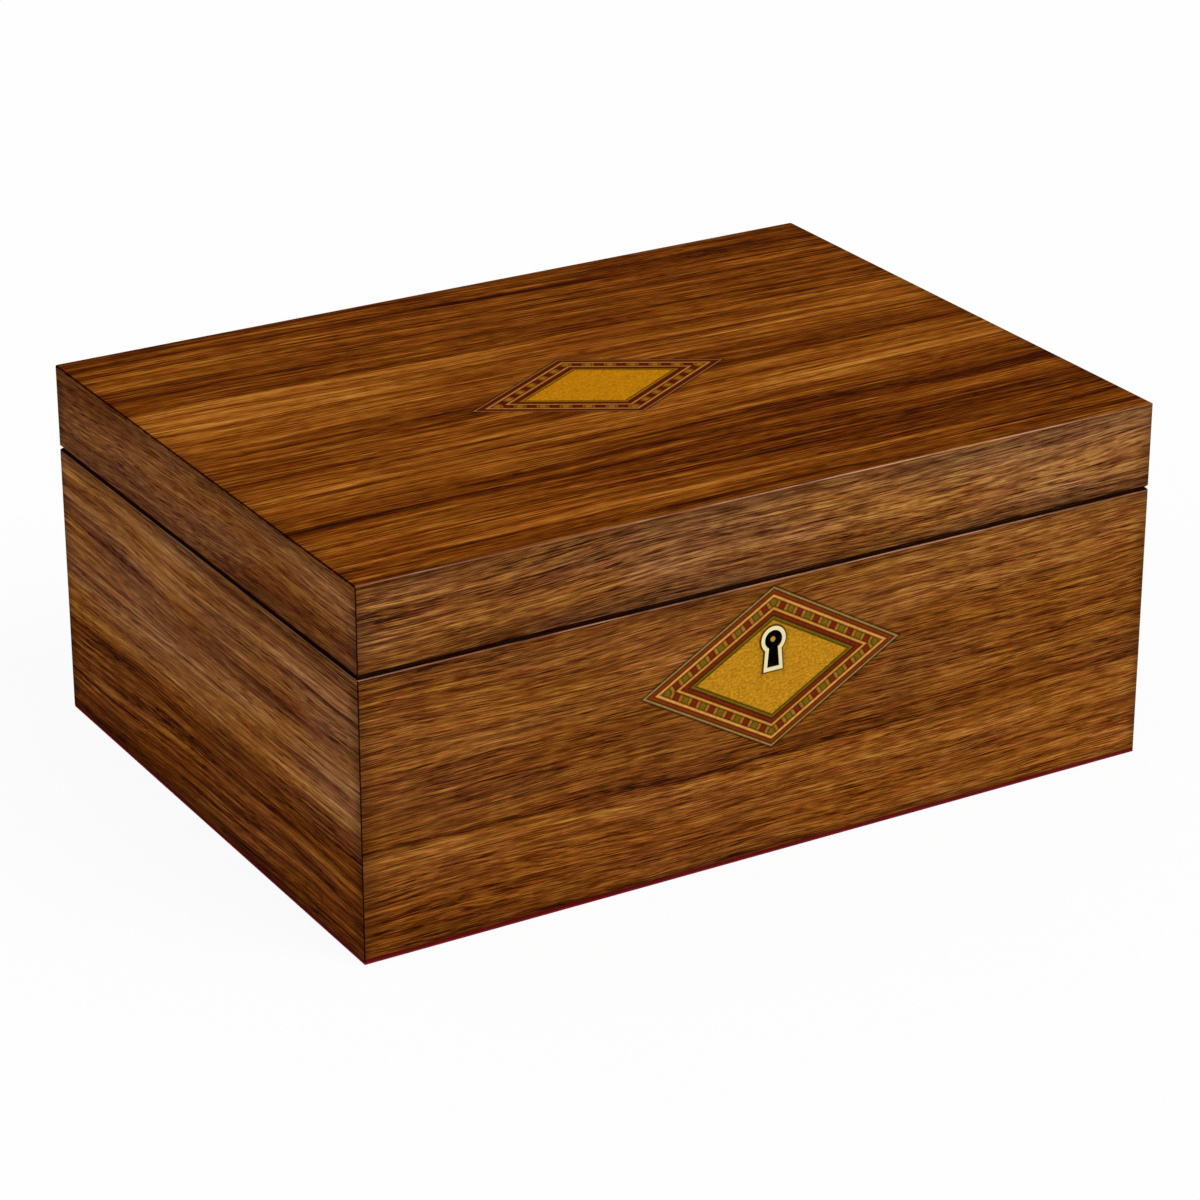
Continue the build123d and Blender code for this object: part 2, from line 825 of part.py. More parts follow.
cock_level = fan_high + drum_end_gap


def tooth_halves(module):
    """Half the thickness of a straight-sided tooth at its tip and at its foot."""
    half = (pi * module / 2 - backlash) / 2
    slope = tan(radians(flank_angle))
    return half - addendum * module * slope, half + dedendum * module * slope / 2


# The angle from +Y towards +Z at which a tooth points straight down
straight_down = 270


def gear(teeth, module, thick, tooth_at):
    """A spur gear about X from 0 to its thickness; a tooth points at the angle from +Y towards +Z."""
    pitch_radius = module * teeth / 2
    half_tip, half_foot = tooth_halves(module)
    tip, root = pitch_radius + addendum * module, pitch_radius - dedendum * module
    points = []
    for index in range(teeth):
        turn = radians(tooth_at) + 2 * pi * index / teeth
        for r, s in ((root, -half_foot), (tip, -half_tip), (tip, half_tip), (root, half_foot)):
            points.append((r * cos(turn) - s * sin(turn), r * sin(turn) + s * cos(turn)))
    return prism(points, "X", 0, thick)


comb_front = drum_y - drum_radius - comb_gap - tooth_length - comb_body
comb_tips = drum_y - drum_radius - comb_gap
comb_root = comb_front + comb_body
note_pitch = (drum_length - 2 * drum_margin) / note_count
comb_low = drum_low + drum_margin - comb_margin
comb_high = drum_high - drum_margin + comb_margin
comb_top = axis_z + comb_thick / 2
comb_foot = axis_z - comb_thick / 2
comb_middle = (drum_low + drum_high) / 2
comb_screw_y = comb_front + comb_body / 2
comb_screw_places = [(comb_middle + x, comb_screw_y) for x in (-comb_screw_spacing, 0, comb_screw_spacing)]


def make_movement_plate():
    """The bedplate, with holes for its screws, the winding arbor and the foot pivot of the air brake."""
    x, y = plate_length / 2, plate_depth / 2
    sides = (movement_x - x, movement_x + x)
    plate = block(sides, (movement_y - y, movement_y + y), (plate_bottom, plate_top))
    for x, y in movement_screw_places:
        plate -= screw_hole(x, y, plate_top, down)
    plate -= rod("Z", (key_x, key_y), plate_bottom - past, plate_top + past, winding_arbor_radius + running)
    foot = plate_top - pivot_depth
    return plate - rod("Z", (worm_x, worm_y), foot, plate_top + past, pivot_radius + running)


def bearing_post(span, y, z):
    """An upright plate with a round top and a bearing hole for an arbor at Y and Z."""
    post = block(span, (y - post_radius, y + post_radius), (plate_top, z))
    post += rod("X", (y, z), *span, post_radius)
    return post


def make_comb_bar():
    """The bar that carries the comb on the bedplate."""
    low, high = comb_front, comb_root
    bar = block((comb_low, comb_high), (low, high), (plate_top, comb_foot))
    for x, y in comb_screw_places:
        bar -= screw_hole(x, y, comb_top, down)
    return bar


def make_movement_posts():
    """The bearing posts of the drum and train, the cock over the air brake and the bar under the comb."""
    left = bearing_post(left_post, drum_y, axis_z)
    right = bearing_post(right_post, drum_y, axis_z) + bearing_post(right_post, train_y, train_z)
    right += block(right_post, (drum_y, train_y), (plate_top, train_z))
    last = bearing_post(train_post, train_y, train_z)
    bore = (movement_x - plate_length / 2, movement_x + plate_length / 2)
    posts = []
    for post in (left, right, last):
        post -= rod("X", (drum_y, axis_z), *bore, arbor_radius + running)
        post -= rod("X", (train_y, train_z), *bore, arbor_radius + running)
        posts.append(post)
    foot = worm_x + fan_radius + post_thick
    wide = (worm_y - cock_width / 2, worm_y + cock_width / 2)
    cock_top = cock_level + post_thick
    cock = block((foot, foot + 2 * post_thick), wide, (plate_top, cock_top))
    cock += block((worm_x - cock_width / 2, foot), wide, (cock_level, cock_top))
    cock -= rod("Z", (worm_x, worm_y), cock_level - past, cock_top + past, pivot_radius + running)
    posts.append(cock)
    return group(posts + [make_comb_bar()])


def make_tone_comb():
    """The steel comb: a solid back and eighteen tuned teeth that reach towards the drum."""
    comb = block((comb_low, comb_high), (comb_front, comb_root), (comb_foot, comb_top))
    teeth = []
    for note in range(note_count):
        low = drum_low + drum_margin + note * note_pitch
        span = (low + tooth_slit / 2, low + note_pitch - tooth_slit / 2)
        teeth.append(block(span, (comb_root - past, comb_tips), (comb_foot, comb_top)))
    comb += teeth
    for x, y in comb_screw_places:
        comb -= screw_hole(x, y, comb_top, down)
    return comb


def make_pin_drum():
    """The brass drum with its arbor, crown pinion, great wheel and rows of tuning pins."""
    drum = rod("X", (drum_y, axis_z), drum_low, drum_high, drum_radius)
    reach = (movement_x + barrel_x + crown_radius - crown_face / 2, right_post[1] + drum_end_gap / 2)
    drum += rod("X", (drum_y, axis_z), *reach, arbor_radius)
    place = Pos(reach[0], drum_y, axis_z)
    drum += place * gear(crown_pinion_teeth, crown_module, crown_face, straight_down)
    drum += Pos(wheel_low, drum_y, axis_z) * gear(drum_wheel_teeth, tooth_module, wheel_thick, train_angle)
    drum += rod("X", (drum_y, axis_z), drum_high, wheel_low, wheel_boss_radius)
    spike = Pos(0, drum_radius, 0) * Box(pin_size, 2 * pin_height, pin_size)
    pins = []
    for note in range(note_count):
        x = drum_low + drum_margin + (note + 0.5) * note_pitch
        for pin in range(pins_per_note):
            turn = 360 * pin / pins_per_note + note * pin_stagger
            pins.append(Pos(x, drum_y, axis_z) * Rot(turn, 0, 0) * spike)
    return drum + pins


def make_train_wheel():
    """The pinion and worm wheel on their arbor between the posts."""
    wheel = rod("X", (train_y, train_z), wheel_low, train_post[1] + drum_end_gap / 2, arbor_radius)
    tooth = train_angle + 180 + 180 / train_pinion_teeth
    wheel += Pos(wheel_low, train_y, train_z) * gear(train_pinion_teeth, tooth_module, wheel_thick, tooth)
    return wheel + Pos(worm_wheel_low, train_y, train_z) * gear(worm_wheel_teeth, worm_module, wheel_thick, 0)


def make_air_brake():
    """The worm with its pivots, and the two-bladed fan above it."""
    brake = rod("Z", (worm_x, worm_y), train_z - worm_half, fan_low, worm_core)
    foot = plate_top - pivot_depth + running
    brake += rod("Z", (worm_x, worm_y), foot, cock_level + post_thick, pivot_radius)
    root, crest = worm_core - thread_sink, worm_radius + thread_height
    half_root, half_tip = thread_root / 2, thread_tip / 2
    outline = [(root, -half_root), (crest, -half_tip), (crest, half_tip), (root, half_root)]
    upright = Plane(origin=(0, 0, 0), x_dir=(1, 0, 0), z_dir=(0, -1, 0))
    profile = upright * make_face(Polyline(*outline, close=True))
    helix = Helix(pitch=worm_pitch, height=2 * worm_half, radius=worm_radius)
    thread = sweep(profile, path=helix, is_frenet=True)
    brake += Pos(worm_x, worm_y, train_z - worm_half) * Rot(0, 0, worm_phase) * thread
    fan = block((-fan_radius, fan_radius), (-fan_blade / 2, fan_blade / 2), (fan_low, fan_high))
    fan += rod("Z", (0, 0), fan_low, fan_high, worm_core)
    return brake + Pos(worm_x, worm_y, 0) * fan


# A gap of the worm's thread faces the tooth that points at it, on the worm's side towards -Y
worm_phase = straight_down - 180 - 360 * (worm_turns / 2 % 1)
barrel_low = plate_top + barrel_foot
crown_root = crown_plane - dedendum * crown_module
crown_tip = crown_plane + addendum * crown_module


def make_spring_barrel():
    """The spring barrel: a drum with its floor and lid, and crown teeth on its rim."""
    shell = rod("Z", (key_x, key_y), barrel_low, crown_root, barrel_radius)
    room = (barrel_low + barrel_skin, crown_root - barrel_skin)
    shell -= rod("Z", (key_x, key_y), *room, barrel_radius - barrel_skin)
    inner, outer = crown_radius - crown_face / 2, crown_radius + crown_face / 2
    tip, foot = tooth_halves(crown_module)
    base = crown_root - barrel_skin / 2
    right = [(foot, base), (foot, crown_root), (tip, crown_tip)]
    tooth = prism(right + [(-y, z) for y, z in reversed(right)], "X", inner, outer)
    turns = [360 * (index + 0.5) / crown_teeth for index in range(crown_teeth)]
    shell += [Pos(key_x, key_y, 0) * Rot(0, 0, turn) * tooth for turn in turns]
    return shell - rod("Z", (key_x, key_y), barrel_low - past, crown_tip, winding_arbor_radius + running)


def make_mainspring():
    """The coiled mainspring in the barrel, run down: a flat strip wound in even turns."""
    outer = barrel_radius - barrel_skin - spring_strip
    inner = winding_arbor_radius + 2 * spring_strip
    steps = spring_turns * spring_steps
    rings = []
    for side in (0, spring_strip):
        ring = []
        for step in range(steps + 1):
            radius = inner + (outer - inner) * step / steps + side
            turn = 2 * pi * step / spring_steps
            ring.append((key_x + radius * cos(turn), key_y + radius * sin(turn)))
        rings.append(ring)
    outline = rings[0] + list(reversed(rings[1]))
    return prism(outline, "Z", barrel_low + barrel_skin + lining_gap, crown_root - barrel_skin - lining_gap)


def make_winding_key():
    """The butterfly key in its well, on the arbor that winds the spring from the middle of the barrel."""
    wing_top = key_clear + key_wing_height
    arbor = rod("Z", (0, 0), key_clear, crown_root + winding_arbor_end, winding_arbor_radius)
    hub = rod("Z", (0, 0), key_clear, key_well_top - lining_gap, key_hub_radius)
    wing_end = key_wing_length / 2 - key_wing_height / 2
    thick = (-key_wing_thick / 2, key_wing_thick / 2)
    wing = block((-wing_end, wing_end), thick, (key_clear, wing_top))
    for x in (-wing_end, wing_end):
        wing += rod("Y", (x, (key_clear + wing_top) / 2), *thick, key_wing_height / 2)
    return Pos(key_x, key_y, 0) * (arbor + hub + wing)


# Stop rod

rod_place = (-lined_x + rod_inset, worm_y)
rod_top = lining_bottom - rod_touch
guide_top = case_top - lining_drop - guide_gap
guide_bottom = guide_top - guide_length
rod_foot = fan_high + brake_touch


def make_stop_guide():
    """The drilled block on the left wall that guides the stop rod."""
    x, y = rod_place
    side = guide_size / 2
    piece = block((-lined_x, x + side), (y - side, y + side), (guide_bottom, guide_top))
    return piece - rod("Z", rod_place, guide_bottom - past, guide_top + past, rod_radius + running)


def make_stop_rod():
    """The rod that the lid pushes down, with the arm that holds the air brake while the lid is shut."""
    x, y = rod_place
    piece = rod("Z", rod_place, rod_foot, rod_top, rod_radius)
    piece += rod("Z", rod_place, rod_top - rod_head, rod_top, rod_head_radius)
    half = brake_arm / 2
    arm_end = worm_x - fan_radius + brake_overlap
    return piece + block((x, arm_end), (y - half, y + half), (rod_foot, rod_foot + brake_arm))


# Fasteners and pads


def make_screws(places):
    """One screw at each place."""
    return group([screw(*place) for place in places])


case_hinge_screws, lid_hinge_screws = (
    [place for x in hinge_places for place in hinge_screw_places(x, owner)] for owner in (0, 1)
)
movement_places = [(x, y, plate_top, down) for x, y in movement_screw_places]
comb_places = [(x, y, comb_top, down) for x, y in comb_screw_places]
tray_rooms = [
    ((tray_inner_x[0], small_divider[0]), (cross_divider[1], tray_inner_y[1])),
    ((small_divider[1], tray_inner_x[1]), (cross_divider[1], tray_inner_y[1])),
]
lid_x, lid_y = inner_x + rebate, inner_y + rebate
keyhole_cut = keyhole_outline(lining_rim, front_face - past, front_face + veneer + past)
front_woods = make_inlay(front_place, keyhole_cut)
lid_woods = make_inlay(lid_place)

nodes = {
    "base_felt": make_base_felt(),
    "case_bottom": make_case_bottom(),
    "case_front": make_case_front(),
    "case_back": cut_hinge_mortises(case_wall("back"), 0),
    "case_left": case_wall("left"),
    "case_right": case_wall("right"),
    "case_lining": make_case_lining(),
    "long_partition": block((partition_left, partition_right), (-lined_y, lined_y), (floor, partition_top)),
    "cross_partitions": group(
        [
            block((-lined_x, partition_left), (cross_low, cross_high), (floor, partition_top)),
            block((partition_right, lined_x), (divider_low, divider_high), (floor, partition_top)),
        ]
    ),
    "floor_pads": group([pad(x, y, floor, floor + floor_pad, pad_round) for x, y in compartments]),
    "tray_runners": group(
        [
            block((-lined_x, lined_x), y, (runner_level - runner_height, runner_level))
            for y in ((-lined_y, -lined_y + runner_width), (lined_y - runner_width, lined_y))
        ]
    ),
    "glass_ledges": make_glass_ledges(),
    "movement_glass": make_glass(),
    "keyhole_lining": make_keyhole_lining(),
    "lock_case": make_lock_case(),
    "lock_bolt": make_lock_bolt(),
    "lock_drill_pin": make_drill_pin(),
    "strike_plate": make_strike_plate(),
    "hinge_case_leaves": make_leaves(0),
    "hinge_lid_leaves": make_leaves(1),
    "hinge_pins": group(
        [
            rod("X", (hinge_y, hinge_z), x - hinge_width / 2, x + hinge_width / 2, hinge_pin_radius)
            for x in hinge_places
        ]
    ),
    "case_screws": make_screws(lock_screw_places + case_hinge_screws),
    "lid_screws": make_screws(strike_screw_places + lid_hinge_screws),
    "lid_front": make_lid_front(),
    "lid_back": cut_hinge_mortises(lid_rail("back"), 1),
    "lid_left": lid_rail("left"),
    "lid_right": lid_rail("right"),
    "lid_board": block((-lid_x, lid_x), (-lid_y, lid_y), (board_bottom, rail_top)),
    "lid_veneer": make_lid_veneer(),
    "lid_lining": pad((-inner_x, inner_x), (-inner_y, inner_y), lining_bottom, board_bottom, 0),
    "mirror": make_mirror(),
    "mirror_frame": make_mirror_frame(),
    "tray_walls": make_tray_walls(),
    "tray_dividers": make_tray_dividers(),
    "tray_floor": block(tray_inner_x, tray_inner_y, (tray_bottom, tray_floor)),
    "tray_pads": group([pad(x, y, tray_floor, tray_floor + tray_pad, pad_round) for x, y in tray_rooms]),
    "ring_rolls": make_ring_rolls(),
    "movement_plate": make_movement_plate(),
    "movement_posts": make_movement_posts(),
    "movement_screws": make_screws(movement_places),
    "tone_comb": make_tone_comb(),
    "comb_screws": make_screws(comb_places),
    "pin_drum": make_pin_drum(),
    "train_wheel": make_train_wheel(),
    "air_brake": make_air_brake(),
    "spring_barrel": make_spring_barrel(),
    "mainspring": make_mainspring(),
    "winding_key": make_winding_key(),
    "stop_guide": make_stop_guide(),
    "stop_rod": make_stop_rod(),
}
for wood in front_woods:
    nodes["front_inlay_" + wood] = front_woods[wood]
    nodes["lid_inlay_" + wood] = lid_woods[wood]

os.makedirs("parts", exist_ok=True)
for name, solid in nodes.items():
    export_step(solid, "parts/" + name + ".step")
print("nodes:", len(nodes))
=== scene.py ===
"""Finishes a musical jewelry box: striped walnut, diamond marquetry, brass, velvet and glass.

Metres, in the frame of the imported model: +X to the right seen from the front, +Y to the back, +Z up.
"""

from collections import namedtuple
from math import cos, hypot, pi, sin

import bmesh
import bpy
from bpy.props import FloatProperty, FloatVectorProperty, PointerProperty
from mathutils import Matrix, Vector


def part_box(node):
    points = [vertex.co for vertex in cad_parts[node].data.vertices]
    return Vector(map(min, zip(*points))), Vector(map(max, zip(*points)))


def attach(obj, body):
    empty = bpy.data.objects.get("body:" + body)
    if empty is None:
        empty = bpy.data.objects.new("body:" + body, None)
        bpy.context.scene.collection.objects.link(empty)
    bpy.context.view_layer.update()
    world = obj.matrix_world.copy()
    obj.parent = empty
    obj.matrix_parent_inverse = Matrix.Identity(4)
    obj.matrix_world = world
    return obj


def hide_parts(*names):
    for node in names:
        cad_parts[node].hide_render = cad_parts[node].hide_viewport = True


bl_info = {
    "name": "Musical Jewelry Box Finishes",
    "version": (1, 0, 0),
    "blender": (4, 5, 0),
    "location": "View3D > Sidebar > Jewelry Box",
    "description": "Dresses a jewelry box in walnut, marquetry, brass, velvet and glass",
    "category": "Object",
}

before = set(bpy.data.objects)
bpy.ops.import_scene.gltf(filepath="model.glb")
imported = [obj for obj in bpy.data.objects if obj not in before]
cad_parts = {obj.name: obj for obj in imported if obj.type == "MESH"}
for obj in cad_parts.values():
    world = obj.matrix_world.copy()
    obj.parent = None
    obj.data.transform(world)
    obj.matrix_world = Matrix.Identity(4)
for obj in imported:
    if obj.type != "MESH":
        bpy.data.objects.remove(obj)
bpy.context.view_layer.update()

MM = 0.001
VARNISH_GLOSS = 0.0002


def paint(red, green, blue):
    """A colour given as it looks on screen, in 0 to 255, as the linear values that a shader takes."""
    shares = [value / 255 for value in (red, green, blue)]
    return tuple(s / 12.92 if s <= 0.04045 else ((s + 0.055) / 1.055) ** 2.4 for s in shares)


# Settings


LENGTH = {"unit": "LENGTH", "precision": 5}
SHARE = {"subtype": "FACTOR", "max": 1}


def colour_setting(name, description, red, green, blue):
    """A colour that a user may change, with its default as it looks on screen."""
    return FloatVectorProperty(
        name=name, description=description, default=paint(red, green, blue), subtype="COLOR", size=3,
        min=0, max=1,
    )


def number_setting(name, description, default, **kind):
    """A number from 0 up that a user may change."""
    return FloatProperty(name=name, description=description, default=default, min=0, **kind)


class WalnutSettings(bpy.types.PropertyGroup):
    """The veneer and its varnish."""

    dark: colour_setting("Dark figure", "The darkest stripes of the veneer", 55, 15, 2)
    middle: colour_setting("Middle figure", "The brown between the stripes", 111, 55, 9)
    bright: colour_setting("Bright figure", "The warm brown of the lighter stripes", 151, 88, 23)
    light: colour_setting("Light figure", "The golden stripes", 192, 132, 58)
    pore: colour_setting("Pores", "The short dark flecks of open grain", 36, 15, 6)
    # Painted shade in the seam groove and inside the keyhole, and a real stain along the edges
    stain: colour_setting("Edge stain", "The stain in the seam and along the edges", 20, 6, 3)
    # Painted highlight: the pale line where light catches a rounded upper edge
    worn: colour_setting("Highlit edges", "The pale line where an upper edge is rubbed", 186, 140, 116)
    foot: colour_setting("Foot stain", "The wine red of the walls above the felt", 86, 12, 12)
    roughness: number_setting("Varnish roughness", "How dull the satin varnish is", 0.36, **SHARE)
    gloss: number_setting("Varnish gloss", "How strongly the varnish mirrors", VARNISH_GLOSS, **SHARE)
    pore_depth: number_setting("Pore depth", "How deep the pores are cut", 0.06 * MM, **LENGTH)


class MarquetrySettings(bpy.types.PropertyGroup):
    """The dyed woods of the two diamonds."""

    field: colour_setting("Field", "The golden veneer in the middle", 178, 124, 24)
    green: colour_setting("Inner green", "The inner green line and the green blocks", 108, 86, 17)
    green_outer: colour_setting("Outer green", "The pale green line round the diamond", 158, 128, 70)
    red: colour_setting("Inner red", "The inner red band and the red blocks", 108, 36, 14)
    red_outer: colour_setting("Outer red", "The red band inside the outer line", 116, 47, 14)
    gold: colour_setting("Inner gold", "The fine string inside the blocks", 196, 134, 52)
    gold_outer: colour_setting("Outer gold", "The fine string outside the blocks", 208, 142, 64)
    light: colour_setting("Light wood", "The pale blocks between the dyed ones", 150, 98, 32)
    lid_field: colour_setting("Lid field", "The golden veneer on the lid", 176, 114, 10)
    lid_green: colour_setting("Lid green", "The faded green of the lid", 138, 92, 12)
    lid_green_outer: colour_setting("Lid outer green", "The line round the lid diamond", 144, 96, 44)
    lid_red: colour_setting("Lid red", "The deep red of the lid", 88, 22, 4)
    lid_gold: colour_setting("Lid gold", "The fine strings of the lid", 172, 108, 48)
    lid_light: colour_setting("Lid light wood", "The pale blocks of the lid", 130, 76, 18)


class MetalSettings(bpy.types.PropertyGroup):
    """Brass and steel."""

    brass: colour_setting("Brass", "Polished brass", 204, 174, 104)
    aged_brass: colour_setting("Aged brass", "The pin seen in the keyhole", 200, 148, 50)
    keyhole: colour_setting("Keyhole brass", "The pale brass of the keyhole lining", 246, 234, 184)
    steel: colour_setting("Steel", "Hardened steel", 186, 188, 192)
    roughness: number_setting("Polish", "How dull the metals are", 0.24, **SHARE)


class VelvetSettings(bpy.types.PropertyGroup):
    """The felt and the velvet."""

    velvet: colour_setting("Velvet", "The lining of the box", 112, 10, 24)
    felt: colour_setting("Felt", "The felt under the box", 114, 11, 30)
    crown: number_setting("Pad crown", "How much fuller a pad is in its middle", 0.6 * MM, **LENGTH)


class StageSettings(bpy.types.PropertyGroup):
    """The camera, the floor and the lamps."""

    camera_place: FloatVectorProperty(
        name="Camera place", description="Where the camera stands",
        default=(-0.6416, -1.0813, 0.6001), subtype="XYZ", unit="LENGTH", size=3,
    )
    camera_way: FloatVectorProperty(
        name="Camera way", description="The direction that the camera looks in",
        default=(0.467692, 0.787082, -0.402200), subtype="XYZ", size=3,
    )
    lens: number_setting("Lens", "Focal length on a 36 mm sensor", 122.6, subtype="DISTANCE_CAMERA")
    key: number_setting("Key lamp", "Strength of the lamp at the front right", 2.0)
    fill: number_setting("Fill lamp", "Strength of the lamp at the left", 0.5)
    sky: number_setting("Sky", "Strength of the even light from all round", 0.5)


# Writing node trees


def new_material(name):
    """An empty node material, and its tree."""
    material = bpy.data.materials.new(name)
    material.use_nodes = True
    material.node_tree.nodes.clear()
    return material, material.node_tree


def add(tree, kind, inputs=None, **settings):
    """A node with its settings and inputs; an input is a value or a socket to link."""
    node = tree.nodes.new(kind)
    for key, value in settings.items():
        setattr(node, key, value)
    for key, value in (inputs or {}).items():
        if isinstance(value, bpy.types.NodeSocket):
            tree.links.new(value, node.inputs[key])
        else:
            node.inputs[key].default_value = value
    return node


def calc(tree, operation, *values, clamp=False):
    """The result of a Math node."""
    node = add(tree, "ShaderNodeMath", dict(enumerate(values)), operation=operation, use_clamp=clamp)
    return node.outputs[0]


def vector(tree, x, y, z):
    """Three values as one vector."""
    return add(tree, "ShaderNodeCombineXYZ", {0: x, 1: y, 2: z}).outputs[0]


def scaled(tree, place, scale):
    """A vector or a colour times a number."""
    inputs = {0: place, "Scale": scale}
    return add(tree, "ShaderNodeVectorMath", inputs, operation="SCALE").outputs[0]


def span(tree, x, y):
    """How far a point is from the crossing of two axes."""
    node = add(tree, "ShaderNodeVectorMath", {0: vector(tree, x, y, 0.0)}, operation="LENGTH")
    return node.outputs["Value"]


def noise(tree, place, octaves=2.0, roughness=0.5, warp=0.0):
    """Noise from 0 to 1 whose features are about one unit of the vector."""
    inputs = {"Vector": place, "Scale": 1.0, "Detail": octaves, "Roughness": roughness, "Distortion": warp}
    return add(tree, "ShaderNodeTexNoise", inputs).outputs[0]


def remap(tree, value, low, high, to_low=0.0, to_high=1.0, smooth=True):
    """A value between two limits mapped to another range, and clamped."""
    inputs = {0: value, 1: low, 2: high, 3: to_low, 4: to_high}
    style = "SMOOTHSTEP" if smooth else "LINEAR"
    return add(tree, "ShaderNodeMapRange", inputs, interpolation_type=style).outputs[0]


def ramp(tree, value, stops):
    """A colour ramp through stops of a position and a colour or a grey."""
    node = add(tree, "ShaderNodeValToRGB", {0: value})
    elements = node.color_ramp.elements
    while len(elements) < len(stops):
        elements.new(0.5)
    for element, (position, shade) in zip(elements, stops):
        element.position = position
        element.color = (*shade, 1) if isinstance(shade, tuple) else (shade, shade, shade, 1)
    return node.outputs[0]


def blend_colour(tree, share, first, second):
    """Two colours mixed by a share."""
    node = add(tree, "ShaderNodeMix", {0: share}, data_type="RGBA")
    for index, value in ((6, first), (7, second)):
        if isinstance(value, bpy.types.NodeSocket):
            tree.links.new(value, node.inputs[index])
        else:
            node.inputs[index].default_value = (*value, 1)
    return node.outputs[2]


def own_place(tree):
    """The place of a point in the object's own frame."""
    return add(tree, "ShaderNodeTexCoord").outputs["Object"]


def place_axes(tree):
    """The three coordinates of the object's own frame, by name."""
    parts = add(tree, "ShaderNodeSeparateXYZ", {0: own_place(tree)})
    return dict(zip("XYZ", parts.outputs))


def bump(tree, height, distance, strength):
    """A normal from a height in shares of a distance in metres."""
    inputs = {"Height": height, "Distance": distance, "Strength": strength}
    return add(tree, "ShaderNodeBump", inputs).outputs[0]


def surface(tree, **values):
    """The surface shader, with its values or sockets by name, where _ stands for a space."""
    inputs = {key.replace("_", " "): value for key, value in values.items()}
    for key, value in inputs.items():
        if isinstance(value, tuple):
            inputs[key] = (*value, 1)
    shader = add(tree, "ShaderNodeBsdfPrincipled", inputs)
    add(tree, "ShaderNodeOutputMaterial", {0: shader.outputs[0]})


def dress(node, material):
    """Gives a CAD node one material all over."""
    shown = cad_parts[node]
    shown.data.materials.clear()
    shown.data.materials.append(material)


# Walnut

# A board of veneer. Its axes run along, across and out of its grain, reach is half its length, and low and
# high are its edges. Start and end are the tones of its bands at either end, from 0 for dark to 1 for light,
# and drift is how they slope near either edge. Streaks and fibres are how strongly they show. Dull is how
# grey it is low down and high up, a painted haze that stands in for the varnish's reflection, yellow is how
# far its hue is turned there, and seed starts its pattern
Board = namedtuple("Board", "axes reach low high start end drift streaks fibres dull yellow seed")

# A pattern in a veneer: its length along the grain, its width across it, its start, octaves and roughness
Pattern = namedtuple("Pattern", "run spread start octaves rough", defaults=(2.0, 0.5))

# A layer of the figure: its pattern, how sharp it is, and its share in a board's streaks and its fibres
Layer = namedtuple("Layer", "pattern sharp streaks fibres")

# A mark along an edge (stains, painted shade and painted highlights are all such marks): how far in it is at
# full strength, where it ends, how strong it is, and its colour
Stain = namedtuple("Stain", "full none strength shade", defaults=("stain",))

CASE_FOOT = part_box("case_front")[0].z
CASE_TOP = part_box("case_front")[1].z
LID_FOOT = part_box("lid_front")[0].z
LID_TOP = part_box("lid_veneer")[1].z
HALF_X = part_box("lid_veneer")[1].x
HALF_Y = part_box("lid_veneer")[1].y
SEAM = (CASE_TOP + LID_FOOT) / 2

